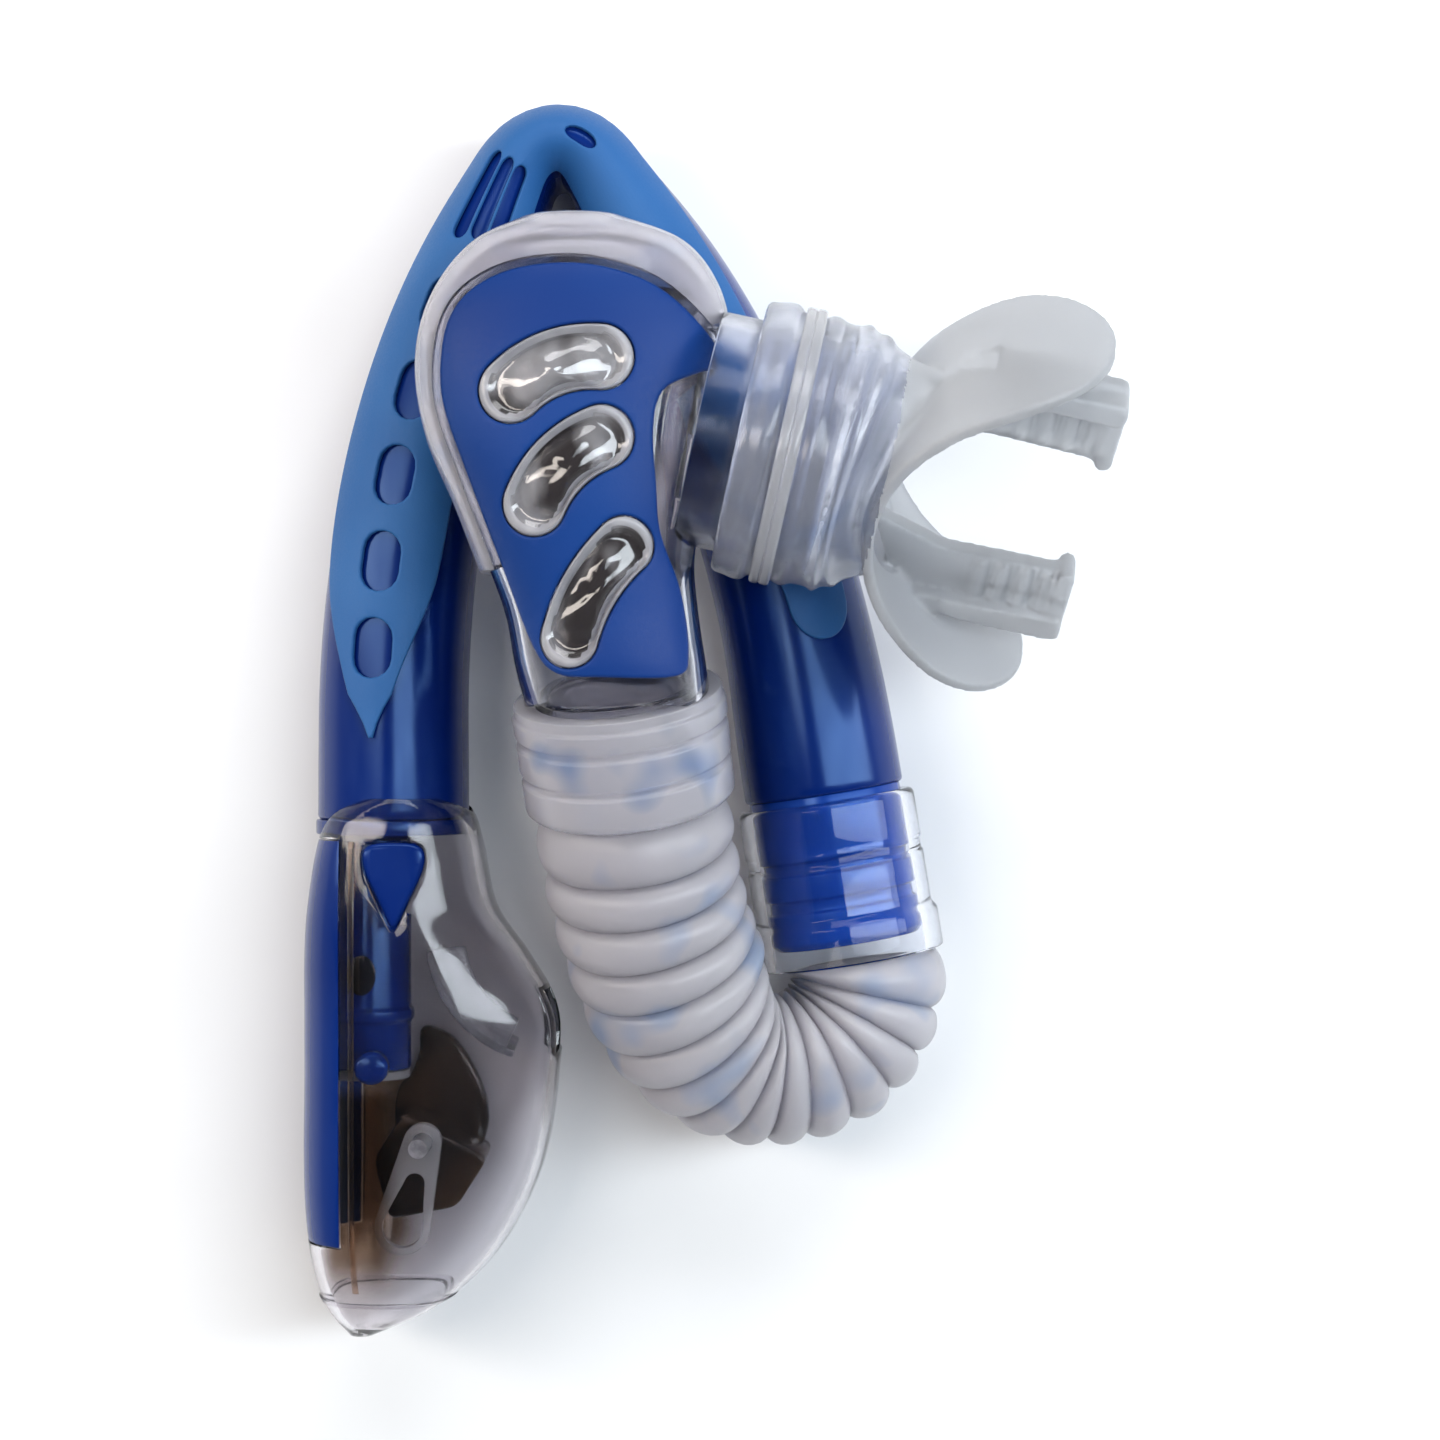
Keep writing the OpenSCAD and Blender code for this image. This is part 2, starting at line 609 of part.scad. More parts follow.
// Navy tube that carries the valve inside the cover
carrier_r = 6.2;
carrier_x = -56;
carrier_top = -15.9;
carrier_len = 40;
module valve_carrier() {
  color("midnightblue") placed()
    difference() {
      union() {
        translate([path_start.x, carrier_top, lie_z]) rotate([90, 0, 0]) cylinder(r = barrel_r, h = 2.4);
        translate([carrier_x, carrier_top, lie_z]) rotate([90, 0, 0])
          cylinder(r = carrier_r, h = carrier_len);
      }
      translate([carrier_x, -10, lie_z]) rotate([90, 0, 0]) cylinder(r = carrier_r - 1.6, h = 60);
    }
}
// Outer wall on the left of the dry top
module carrier_shield() {
  color("midnightblue") placed()
    intersection() {
      difference() {
        cover_solid(-0.05);
        cover_solid(-cover_wall, 10.6);
      }
      translate([-90, shield_y[0] + gap, 0])
        cube([90 + shield_x - gap, shield_y[1] - shield_y[0] - 2 * gap, 60]);
    }
}

module button_outline(off) {
  polygon([[-4.2 - off, 6.6 + off], [4.2 + off, 6.6 + off], [4.6 + off, 3.4], [0.6 + off, -6 - off],
    [-0.6 - off, -6 - off], [-4.6 - off, 3.4]]);
}
module spade_button() {
  color("midnightblue") placed()
    translate([button_at.x, button_at.y, 27.2]) linear_extrude(4.4) button_outline(0);
}
stud_at = [-54.6, -54.6];
module round_stud() {
  color("midnightblue") placed() {
    translate([stud_at.x, stud_at.y, 26.2]) cylinder(r = 2.6, h = 3.4);
    translate([stud_at.x, stud_at.y, 24.4]) cylinder(r = 1.6, h = 1.8);
  }
}

// Clear louvre that keeps spray out of the inlet: an arc of wall with a flange along its top
louvre_at = [-26, -34];
louvre_r = 20.6;
louvre_wall = 1.2;
louvre_z = 7;
louvre_h = 19;
module louvre_arc(inner_r, right) {
  intersection() {
    difference() {
      translate(louvre_at) circle(r = louvre_r);
      translate(louvre_at) circle(r = inner_r);
    }
    translate([-60, -53.2]) square([60 + right, 16.4]);
  }
}
module inlet_louvre() {
  color("aliceblue", 0.5) placed() {
    translate([0, 0, louvre_z]) linear_extrude(louvre_h) louvre_arc(louvre_r - louvre_wall, -30);
    translate([0, 0, louvre_z + louvre_h - louvre_wall])
      linear_extrude(louvre_wall) louvre_arc(louvre_r - 6.2, -32.4);
  }
}

float_pin = [-47.2, -67];
pin_r = 1.5;
module float_pivot_pin() {
  color("silver") placed() translate([float_pin.x, float_pin.y, 2.6]) cylinder(r = pin_r, h = 27.8);
}
module float_block() {
  color("dimgray") placed()
    difference() {
      translate([0, 0, 6.5]) linear_extrude(15)
        polygon([[-50.6, -62.8], [-37, -69.8], [-42, -77.6], [-52.8, -79.6], [-55.2, -70]]);
      translate([float_pin.x, float_pin.y, 0]) cylinder(r = pin_r + 0.08, h = 40);
    }
}
module float_lever() {
  color("aliceblue", 0.5) placed()
    translate([0, 0, 22])
      linear_extrude(2)
        difference() {
          hull() {
            translate(float_pin) circle(r = 3);
            translate([-50.4, -80.4]) circle(r = 4.4);
          }
          translate(float_pin) circle(r = pin_r + 0.08);
          hull() {
            translate([-48.4, -73.4]) circle(r = 1.6);
            translate([-50.4, -80.4]) circle(r = 3.2);
          }
        }
}
// Soft flap that closes the end of the carrier tube
module seal_flap() {
  color("dimgray") placed()
    translate([carrier_x, carrier_top - carrier_len - 0.35, lie_z]) rotate([90, 0, 0])
      cylinder(r = carrier_r - 0.2, h = 1.2);
}

lower_barrel_tube();
barrel_bend();
upper_barrel_tube();
band_lower();
band_bend();
band_upper();
hose_spigot();
hose_barrel_cuff();
corrugated_hose();
hose_body_cuff();
body_spigot();
purge_chamber();
purge_hood();
front_insert();
rear_insert();
upper_window();
middle_window();
lower_window();
purge_valve_seat();
purge_membrane();
mouthpiece_socket();
mouthpiece_neck();
retaining_ring();
lip_shield();
upper_bite_tab();
lower_bite_tab();
dry_top_cover();
valve_carrier();
carrier_shield();
spade_button();
round_stud();
inlet_louvre();
float_pivot_pin();
float_block();
float_lever();
seal_flap();
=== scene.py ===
"""Looks of a folded dry-top snorkel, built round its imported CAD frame.

Lengths in the design functions are millimetres in the CAD source's own coordinates; place() turns them into
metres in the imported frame.
"""
import json
import math

import bmesh
import bpy
import numpy as np
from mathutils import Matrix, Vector


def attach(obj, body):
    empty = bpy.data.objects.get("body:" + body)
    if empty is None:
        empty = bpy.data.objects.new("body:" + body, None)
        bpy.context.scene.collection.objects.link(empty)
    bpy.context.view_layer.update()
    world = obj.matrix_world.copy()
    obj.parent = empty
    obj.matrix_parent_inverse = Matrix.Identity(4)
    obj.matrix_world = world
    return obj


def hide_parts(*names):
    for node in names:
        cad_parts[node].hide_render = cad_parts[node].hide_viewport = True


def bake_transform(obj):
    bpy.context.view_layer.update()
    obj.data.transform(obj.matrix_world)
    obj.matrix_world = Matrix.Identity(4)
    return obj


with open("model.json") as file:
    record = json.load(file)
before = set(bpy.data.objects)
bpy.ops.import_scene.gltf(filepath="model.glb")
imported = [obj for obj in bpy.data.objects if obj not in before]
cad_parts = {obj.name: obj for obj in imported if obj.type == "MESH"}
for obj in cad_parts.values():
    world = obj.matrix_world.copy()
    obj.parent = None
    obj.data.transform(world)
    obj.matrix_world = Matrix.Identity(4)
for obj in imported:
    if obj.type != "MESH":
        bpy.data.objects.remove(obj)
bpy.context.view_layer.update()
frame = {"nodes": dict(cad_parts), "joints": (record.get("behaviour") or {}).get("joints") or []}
MM = 0.001
NECK_BASE = np.array([3.6, 41.9, 52.6])
JOINTS = {j["name"]: j for j in frame["joints"]}
SHIFT = np.array(JOINTS["mouthpiece_swivel"]["pos_m"]) / MM - NECK_BASE


def place(points):
    return (np.asarray(points, float) + SHIFT) * MM


# ---------------------------------------------------------------- numbers and curves
def clamp01(t):
    return np.clip(t, 0.0, 1.0)


def ease(t):
    c = clamp01(t)
    return c * c * (3 - 2 * c)


def mix(a, b, t):
    return a + (b - a) * t


def unit(v):
    v = np.asarray(v, float)
    return v / np.linalg.norm(v, axis=-1, keepdims=True)


def columns(*parts):
    """Points from their coordinates, each one number or one for every point."""
    return np.stack(np.broadcast_arrays(*parts), -1)


def around(count):
    return np.arange(count) * 2 * math.pi / count


def turned(x, y, turn):
    c, s = math.cos(turn), math.sin(turn)
    return x * c - y * s, x * s + y * c


def spline(points, u):
    """A smooth curve through points, at each u from 0 to the last index."""
    p = np.asarray(points, float)
    n = len(p) - 1
    u = np.atleast_1d(np.asarray(u, float))
    i = np.minimum(np.floor(u).astype(int), n - 1)
    t = (u - i)[:, None]
    p0, p1, p2, p3 = p[np.maximum(i - 1, 0)], p[i], p[i + 1], p[np.minimum(i + 2, n)]
    return 0.5 * (2 * p1 + (p2 - p0) * t + (2 * p0 - 5 * p1 + 4 * p2 - p3) * t**2
                  + (3 * p1 - 3 * p2 + p3 - p0) * t**3)


def closed_spline(points, per_point):
    """A smooth closed outline through points."""
    p = np.asarray(points, float)
    return spline(np.vstack([p[-1:], p, p[:2]]), 1 + np.arange(len(p) * per_point) / per_point)


def stationed(table, at):
    """The rows of a table, smoothed, at values of its first column."""
    return spline(table, np.interp(at, table[:, 0], np.arange(len(table))))


def smooth_noise(x, y, seed=0):
    """A slow, repeatable wobble between about -1 and 1."""
    quick = np.sin(x * 1.7 + seed) * np.cos(y * 2.3 + 1.3 * seed)
    return (quick + np.sin(x * 0.6 - y * 1.1 + 2.1 * seed)) / 2


# ---------------------------------------------------------------- materials
def new_material(name, **sockets):
    mat = bpy.data.materials.new(name)
    mat.use_nodes = True
    tree = mat.node_tree
    bsdf = next(n for n in tree.nodes if n.type == "BSDF_PRINCIPLED")
    for key, value in sockets.items():
        bsdf.inputs[key.replace("_", " ")].default_value = value
    return mat, tree, bsdf, tree.nodes.new("ShaderNodeTexCoord")


def add_noise(tree, coords, scale, detail=3.0, roughness=0.5, stretch=None):
    noise = tree.nodes.new("ShaderNodeTexNoise")
    for key, value in (("Scale", scale), ("Detail", detail), ("Roughness", roughness)):
        noise.inputs[key].default_value = value
    source = coords.outputs["Object"]
    if stretch:
        mapping = tree.nodes.new("ShaderNodeMapping")
        mapping.inputs["Scale"].default_value = stretch
        tree.links.new(source, mapping.inputs["Vector"])
        source = mapping.outputs["Vector"]
    tree.links.new(source, noise.inputs["Vector"])
    return noise


def add_ramp(tree, source, low, high, at):
    ramp = tree.nodes.new("ShaderNodeValToRGB")
    for i, colour in enumerate((low, high)):
        ramp.color_ramp.elements[i].position = at[i]
        ramp.color_ramp.elements[i].color = (*colour, 1)
    tree.links.new(source, ramp.inputs["Fac"])
    return ramp.outputs["Color"]


def map_range(tree, source, source_ends, ends, kind="LINEAR"):
    spread = tree.nodes.new("ShaderNodeMapRange")
    spread.interpolation_type = kind
    for key, value in zip(("From Min", "From Max", "To Min", "To Max"), (*source_ends, *ends)):
        spread.inputs[key].default_value = value
    tree.links.new(source, spread.inputs["Value"])
    return spread.outputs["Result"]


def colour_between(tree, bsdf, noise, low, high, at=(0.35, 0.65)):
    colour = add_ramp(tree, noise.outputs["Fac"], low, high, at)
    tree.links.new(colour, bsdf.inputs["Base Color"])
    return colour


def rough_between(tree, bsdf, noise, ends):
    tree.links.new(map_range(tree, noise.outputs["Fac"], (0.3, 0.7), ends), bsdf.inputs["Roughness"])


def bump_from(tree, bsdf, *layers):
    """Each layer is (noise, strength, distance in metres)."""
    last = None
    for noise, strength, distance in layers:
        bump = tree.nodes.new("ShaderNodeBump")
        bump.inputs["Strength"].default_value = strength
        bump.inputs["Distance"].default_value = distance
        tree.links.new(noise.outputs["Fac"], bump.inputs["Height"])
        if last:
            tree.links.new(last.outputs["Normal"], bump.inputs["Normal"])
        last = bump
    tree.links.new(last.outputs["Normal"], bsdf.inputs["Normal"])


def tint_colour(tree, bsdf, base, tint, share):
    """Turns the base colour towards tint by share, a socket that runs from 0 to 1."""
    blend = tree.nodes.new("ShaderNodeMix")
    blend.data_type = "RGBA"
    blend.inputs["B"].default_value = (*tint, 1)
    tree.links.new(share, blend.inputs["Factor"])
    tree.links.new(base, blend.inputs["A"])
    tree.links.new(blend.outputs["Result"], bsdf.inputs["Base Color"])


def grained(name, slow, fine, low, high, rough, bumps, at=(0.35, 0.65), **sockets):
    """A material whose colour follows a slow noise and whose roughness follows a fine one.

    slow and fine are add_noise's numbers; each bump is (0 for slow or 1 for fine, strength, distance).
    """
    mat, tree, bsdf, coords = new_material(name, **sockets)
    noises = [add_noise(tree, coords, *numbers) for numbers in (slow, fine)]
    colour_between(tree, bsdf, noises[0], low, high, at)
    rough_between(tree, bsdf, noises[1], rough)
    bump_from(tree, bsdf, *((noises[i], strength, distance) for i, strength, distance in bumps))
    return mat


def navy(name, low, high):
    return grained(name, (22, 2), (420, 4, 0.6, (1, 0.25, 1)), low, high, (0.17, 0.25),
                   ((0, 0.25, 0.0006), (1, 0.08, 0.0001)), IOR=1.45, Specular_Tint=(0.3, 0.55, 1, 1))


def clear(name, low, high, rough, ior=1.5):
    return grained(name, (45, 2), (700, 5, 0.6, (1, 0.3, 1)), low, high, rough,
                   ((0, 0.35, 0.0006), (1, 0.04, 0.00008)), IOR=ior, Transmission_Weight=1.0)


def frosted(name, low, high, transmission, rough, cloud=28, scatter=0.5, blue=0.0, ior=1.41):
    """Soft silicone; blue is how strongly painted patches of blue, standing in for blue parts seen through
    it, are mixed into its colour.
    """
    mat, tree, bsdf, coords = new_material(name, IOR=ior, Transmission_Weight=transmission,
                                           Specular_IOR_Level=0.4, Subsurface_Weight=scatter,
                                           Subsurface_Scale=0.008, Subsurface_Radius=(1, 1, 1))
    colour = colour_between(tree, bsdf, add_noise(tree, coords, cloud, 2), low, high)
    rough_between(tree, bsdf, add_noise(tree, coords, 2 * cloud, 1), rough)
    if blue:
        # Painted light: patches of blue from a noise stand in for blue parts seen through the silicone
        patches = add_noise(tree, coords, 95, 1, 0.4)
        share = map_range(tree, patches.outputs["Fac"], (0.56, 0.72), (0, blue))
        tint_colour(tree, bsdf, colour, (0.26, 0.4, 0.68), share)
    return mat


def painted_shade_patch(mat, tint, *sides):
    """Paints shade onto part of a clear material as a tint; each side is (axis, clear at, full at) in the
    design frame.
    """
    tree = mat.node_tree
    bsdf = next(n for n in tree.nodes if n.type == "BSDF_PRINCIPLED")
    base = bsdf.inputs["Base Color"].links[0].from_socket
    coords = tree.nodes.new("ShaderNodeTexCoord")
    parts = tree.nodes.new("ShaderNodeSeparateXYZ")
    tree.links.new(coords.outputs["Object"], parts.inputs["Vector"])
    cover = None
    for axis, clear_at, full_at in sides:
        edges = (np.sort([clear_at, full_at]) + SHIFT["XY".index(axis)]) * MM
        ends = (0, 1) if clear_at < full_at else (1, 0)
        mask = map_range(tree, parts.outputs[axis], edges, ends, "SMOOTHSTEP")
        if cover:
            both = tree.nodes.new("ShaderNodeMath")
            both.operation = "MULTIPLY"
            tree.links.new(cover, both.inputs[0])
            tree.links.new(mask, both.inputs[1])
            mask = both.outputs["Value"]
        cover = mask
    tint_colour(tree, bsdf, base, tint, cover)


# The denoiser draws contour lines where a roughness crosses 0.27, so each range stays on one side of it
NAVY = navy("navy_plastic", (0.001, 0.011, 0.115), (0.002, 0.019, 0.155))
# Painted light: a brighter copy of the navy for the spigot, lightening it where it lies shaded under the
# clear cuff
SPIGOT_NAVY_PAINTED_LIGHT = navy("spigot_navy", (0.004, 0.032, 0.24), (0.01, 0.055, 0.34))
BAND = grained("band_rubber", (35, 3), (2600, 3, 0.6), (0.018, 0.1, 0.29), (0.026, 0.122, 0.33), (0.46, 0.62),
               ((0, 0.15, 0.0005), (1, 0.28, 0.00008)), Specular_IOR_Level=0.25)
INSERT = grained("insert_plastic", (30, 2), (3200, 2, 0.5), (0.0015, 0.028, 0.165), (0.003, 0.04, 0.2),
                 (0.4, 0.55), ((0, 0.1, 0.0005), (1, 0.22, 0.00006)), Specular_IOR_Level=0.2)
SILICONE = frosted("silicone", (0.64, 0.61, 0.66), (0.76, 0.73, 0.78), 0.5, (0.3, 0.4), 28, 0.9, 0.7)
SOFT_CUFF = frosted("soft_cuff_silicone", (0.72, 0.7, 0.75), (0.83, 0.81, 0.86), 0.72, (0.14, 0.24),
                             40, 0.8, 0.8)
CUFF = frosted("cuff_silicone", (0.9, 0.92, 0.97), (0.95, 0.96, 0.99), 1, (0.02, 0.06), 28, 0, 0, 1.25)
NECK = frosted("neck_silicone", (0.66, 0.68, 0.76), (0.78, 0.8, 0.88), 0.86, (0.18, 0.25), 40, 0.4, 0.5)
MOUTH = frosted("mouth_silicone", (0.52, 0.53, 0.55), (0.64, 0.65, 0.67), 0.6, (0.3, 0.4))
HOOD = frosted("hood_silicone", (0.6, 0.58, 0.64), (0.72, 0.7, 0.76), 0.78, (0.12, 0.22), 28, 0.5, 0.4)
CLEAR = clear("clear_plastic", (0.74, 0.74, 0.79), (0.84, 0.84, 0.89), (0.03, 0.09))
COVER = clear("cover_plastic", (0.84, 0.82, 0.85), (0.92, 0.9, 0.93), (0.04, 0.1), 1.36)
# Painted shade: a warm brown darkening of the clear cover, low on its left
painted_shade_patch(COVER, (0.3, 0.21, 0.15), ("X", -49, -54), ("X", -64, -60), ("Y", -56, -60), ("Y", -92, -84))
SOCKET = clear("socket_plastic", (0.76, 0.78, 0.86), (0.86, 0.88, 0.94), (0.13, 0.24), 1.28)
# The glossy middle of a window: painted shade and painted reflections, dark like the shaded inside seen
# through it, with pale streaks standing in for reflections
LENS = grained("window_middle", (120, 2, 0.5, (1, 0.55, 1)), (700, 3), (0.1, 0.085, 0.085), (0.72, 0.7, 0.72),
               (0.04, 0.12), ((0, 0.6, 0.0015),), (0.43, 0.6), IOR=1.5, Transmission_Weight=0.75,
               Coat_Weight=0.5)
RIM = frosted("window_rim", (0.62, 0.61, 0.66), (0.85, 0.84, 0.88), 0.6, (0.06, 0.16), 160)
SMOKY = grained("smoky_plastic", (60, 3), (900, 3), (0.02, 0.011, 0.006), (0.07, 0.038, 0.018), (0.1, 0.22),
                ((0, 0.3, 0.0006),), IOR=1.45, Transmission_Weight=0.3)
# Painted reflection: the warm tint of the low rib down the cover stands in for a highlight along its left
# edge
WARM_PAINTED_REFLECTION = clear("warm_painted_reflection", (0.8, 0.62, 0.5), (0.9, 0.74, 0.62), (0.12, 0.22), 1.3)
AMBER = clear("amber_window", (0.16, 0.09, 0.05), (0.24, 0.15, 0.09), (0.05, 0.12))
FROST = frosted("frosted_clear", (0.7, 0.7, 0.72), (0.85, 0.85, 0.87), 0.7, (0.12, 0.24))
LOUVRE = frosted("louvre_plastic", (0.4, 0.4, 0.45), (0.54, 0.54, 0.59), 0.85, (0.1, 0.2), 28, 0.2)
GREY = grained("soft_grey", (60, 2), (1500, 3), (0.2, 0.2, 0.21), (0.28, 0.28, 0.29), (0.45, 0.6),
               ((1, 0.15, 0.00008),), Transmission_Weight=0.25)
STEEL = grained("pin_steel", (900, 3, 0.5, (1, 1, 12)), (900, 3, 0.5, (1, 1, 12)), (0.42, 0.42, 0.44),
                (0.62, 0.62, 0.64), (0.29, 0.4), ((0, 0.15, 0.00005),), Metallic=1.0)


# ---------------------------------------------------------------- mesh helpers
def link(name, data):
    obj = bpy.data.objects.new(name, data)
    bpy.context.scene.collection.objects.link(obj)
    return obj


def paint(obj, *mats):
    obj.data.materials.clear()
    for mat in mats:
        obj.data.materials.append(mat)


def smooth(obj, angle=38):
    bm = bmesh.new()
    bm.from_mesh(obj.data)
    bmesh.ops.recalc_face_normals(bm, faces=bm.faces)
    bm.to_mesh(obj.data)
    bm.free()
    obj.data.polygons.foreach_set("use_smooth", [True] * len(obj.data.polygons))
    obj.data.set_sharp_from_angle(angle=math.radians(angle))


def mesh_object(name, verts, faces, mat, angle=38):
    mesh = bpy.data.meshes.new(name)
    mesh.from_pydata([tuple(v) for v in verts], [], [tuple(int(i) for i in f) for f in faces])
    mesh.validate()
    obj = link(name, mesh)
    smooth(obj, angle)
    paint(obj, mat)
    return obj


def grid(rows, close_rows=False):
    """Points and quads through closed rings, n x m x 3; close_rows joins the last to the first."""
    rows = np.asarray(rows, float)
    n, m = rows.shape[:2]
    faces = []
    for i in range(n if close_rows else n - 1):
        j = (i + 1) % n
        for k in range(m):
            q = (k + 1) % m
            faces.append((i * m + k, i * m + q, j * m + q, j * m + k))
    return rows.reshape(-1, 3), faces


def shell(name, outer, inner, mat, lip=0.35, angle=38):
    """A tube with a wall, from outer and inner rings, with softly rounded lips."""
    outer, inner = np.asarray(outer, float), np.asarray(inner, float)

    def lip_row(i, step):
        out = unit(outer[i].mean(0) - outer[i + step].mean(0))
        return (outer[i] + inner[i]) / 2 + out * lip

    rows = [*outer, lip_row(-1, -1), *inner[::-1], lip_row(0, 1)]
    verts, faces = grid(rows, True)
    return mesh_object(name, place(verts), faces, mat, angle)


def solid(name, rings, mat, angle=38):
    """A closed solid through a list of rings, with its ends filled by a fan."""
    rings = np.asarray(rings, float)
    n, m = rings.shape[:2]
    verts, faces = grid(rings)
    verts = np.vstack([verts, rings[0].mean(0), rings[-1].mean(0)])
    a, b = n * m, n * m + 1
    for k in range(m):
        q = (k + 1) % m
        faces.append((a, q, k))
        faces.append((b, (n - 1) * m + k, (n - 1) * m + q))
    return mesh_object(name, place(verts), faces, mat, angle)


def moved_by(points, matrix):
    return points @ matrix[:3, :3].T + matrix[:3, 3]


def lathe(name, profile, axes, mat, segments=96):
    """Turns a closed profile of (radius, height) round the Z axis of axes."""
    t = around(segments)
    verts, faces = grid([columns(r * np.cos(t), r * np.sin(t), z) for r, z in profile], True)
    return mesh_object(name, place(moved_by(verts, axes)), faces, mat, 30)


def rounded(profile, radius, steps=3):
    """Rounds the corners of a closed 2-D profile."""
    p = np.asarray(profile, float)
    out = []
    for i in range(len(p)):
        a, b, c = p[i - 1], p[i], p[(i + 1) % len(p)]
        u, v = a - b, c - b
        lu, lv = np.linalg.norm(u), np.linalg.norm(v)
        r = min(radius, lu * 0.45, lv * 0.45)
        s, e = b + u / lu * r, b + v / lv * r
        for k in range(steps + 1):
            t = k / steps
            out.append((1 - t) ** 2 * s + 2 * t * (1 - t) * b + t * t * e)
    return np.array(out)


def evaluated_mesh(obj):
    return bpy.data.meshes.new_from_object(obj.evaluated_get(bpy.context.evaluated_depsgraph_get()))


def plate(name, outlines, thickness, bevel, mat, cell, warp):
    """A flat plate with rounded edges from 2-D outlines (the first outside, the rest holes), cut into small
    cells and bent by warp, which maps (x, y, height over the plate's underside) to a point."""
    curve = bpy.data.curves.new(name, "CURVE")
    curve.dimensions = "2D"
    curve.fill_mode = "BOTH"
    curve.extrude = thickness / 2 - bevel
    curve.bevel_depth = bevel
    curve.bevel_resolution = 2
    curve.offset = -bevel
    for outline in outlines:
        line = curve.splines.new("POLY")
        line.points.add(len(outline) - 1)
        for point, (x, y) in zip(line.points, outline):
            point.co = (x, y, 0, 1)
        line.use_cyclic_u = True
    holder = link(name + "_curve", curve)
    bpy.context.view_layer.update()
    mesh = evaluated_mesh(holder)
    bpy.data.objects.remove(holder)
    bm = bmesh.new()
    bm.from_mesh(mesh)
    bmesh.ops.remove_doubles(bm, verts=bm.verts, dist=0.002)
    low, high = np.min(outlines[0], 0), np.max(outlines[0], 0)
    for axis, normal in enumerate(np.eye(3)[:2]):
        for at in np.arange(low[axis] + cell / 2, high[axis], cell):
            bmesh.ops.bisect_plane(bm, geom=bm.verts[:] + bm.edges[:] + bm.faces[:], plane_co=at * normal,
                                   plane_no=normal, dist=1e-5)
    bmesh.ops.triangulate(bm, faces=[f for f in bm.faces if len(f.verts) > 4])
    bm.to_mesh(mesh)
    bm.free()
    co = np.array([v.co for v in mesh.vertices], float)
    co[:, 2] += thickness / 2
    mesh.vertices.foreach_set("co", place(warp(*co.T)).astype(np.float32).ravel())
    mesh.update()
    obj = link(name, mesh)
    paint(obj, mat)
    smooth(obj, 40)
    return obj


def apply_modifiers(obj):
    bpy.context.view_layer.update()
    mesh = evaluated_mesh(obj)
    obj.modifiers.clear()
    obj.data = mesh


def cut(obj, cutter):
    mod = obj.modifiers.new("cut", "BOOLEAN")
    mod.operation = "DIFFERENCE"
    mod.object = cutter
    mod.solver = "MANIFOLD"
    apply_modifiers(obj)
    bpy.data.objects.remove(cutter)
    return obj


def soften(obj, width, segments, angle=35):
    mod = obj.modifiers.new("soften", "BEVEL")
    mod.width = width * MM
    mod.segments = segments
    mod.limit_method = "ANGLE"
    mod.angle_limit = math.radians(angle)
    mod.harden_normals = False
    apply_modifiers(obj)
    smooth(obj, 50)


def settle(obj, body, slot, *replaced):
    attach(obj, body)
    if replaced:
        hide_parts(*replaced)


def bent_piece(obj, bodies, start, end, slot, *replaced):
    """Bakes a piece's transform into its mesh and hides the CAD nodes it replaces; the two bodies and the
    start and end in metres are not used.
    """
    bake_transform(obj)
    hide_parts(*replaced)


# ---------------------------------------------------------------- barrel
LIE_Z = 16.5
BARREL_R = 12.4
BARREL_WALL = 2.2
BARREL_END = 229
FOLD_THICKNESS = 11.4
FOLD_HEIGHT = 32.4
PATH_START = np.array([-52.6, -15.8])
FOLD_MID = 114
FOLD_AT = np.array(JOINTS["barrel_fold"]["pos_m"])
FOLD_REACH = np.array([4.5, 0, 0]) * MM
FOLD_ENDS = ("upper_barrel", "lower_barrel"), FOLD_AT - FOLD_REACH, FOLD_AT + FOLD_REACH
# Degrees the barrel turns along its upper arm, in its fold and along its lower arm
UPPER_TURN, FOLD_TURN, LOWER_TURN = 25, 121.8, 24


def heading(s):
    """Degrees from +Y towards +X, at a distance s along the barrel."""
    return (UPPER_TURN * clamp01((s - 15) / 88) + FOLD_TURN * ease((s - 103) / 22)
            + LOWER_TURN * clamp01((s - 124) / 90))


def barrel_path():
    middles = np.radians(heading(np.arange(BARREL_END) + 0.5))
    steps = columns(np.sin(middles), np.cos(middles))
    return np.vstack([PATH_START, PATH_START + np.cumsum(steps, 0)])


PATH = barrel_path()


def barrel_frame(s):
    """Centre and inside direction at each distance s; past the ends the barrel runs straight on."""
    s = np.atleast_1d(np.asarray(s, float))
    inside = np.clip(s, 0, BARREL_END)
    marks = np.arange(BARREL_END + 1)
    xy = columns(*(np.interp(inside, marks, side) for side in PATH.T))
    h = np.radians(heading(inside))
    xy = xy + (s - inside)[:, None] * columns(np.sin(h), np.cos(h))
    return columns(*xy.T, LIE_Z), columns(np.cos(h), -np.sin(h), 0)


def flatness(s):
    return 1 / (1 + ((s - FOLD_MID) / 25) ** 2)


def barrel_point(s, t, off):
    """A point of the barrel's skin: t in degrees from the inside of the hairpin, off outwards."""
    s, t = np.broadcast_arrays(np.asarray(s, float), np.asarray(t, float))
    shape = s.shape
    s, t, off = s.ravel(), np.radians(t.ravel()), np.broadcast_to(off, shape).ravel()
    centre, side = barrel_frame(s)
    flare = 0.7 * ease((s - 195) / 30)
    a = mix(BARREL_R, FOLD_THICKNESS / 2, flatness(s)) + flare + off
    b = mix(BARREL_R, FOLD_HEIGHT / 2, flatness(s)) + flare + off
    p = centre + side * (a * np.cos(t))[:, None] + np.outer(b * np.sin(t), [0, 0, 1])
    return p.reshape(*shape, 3)


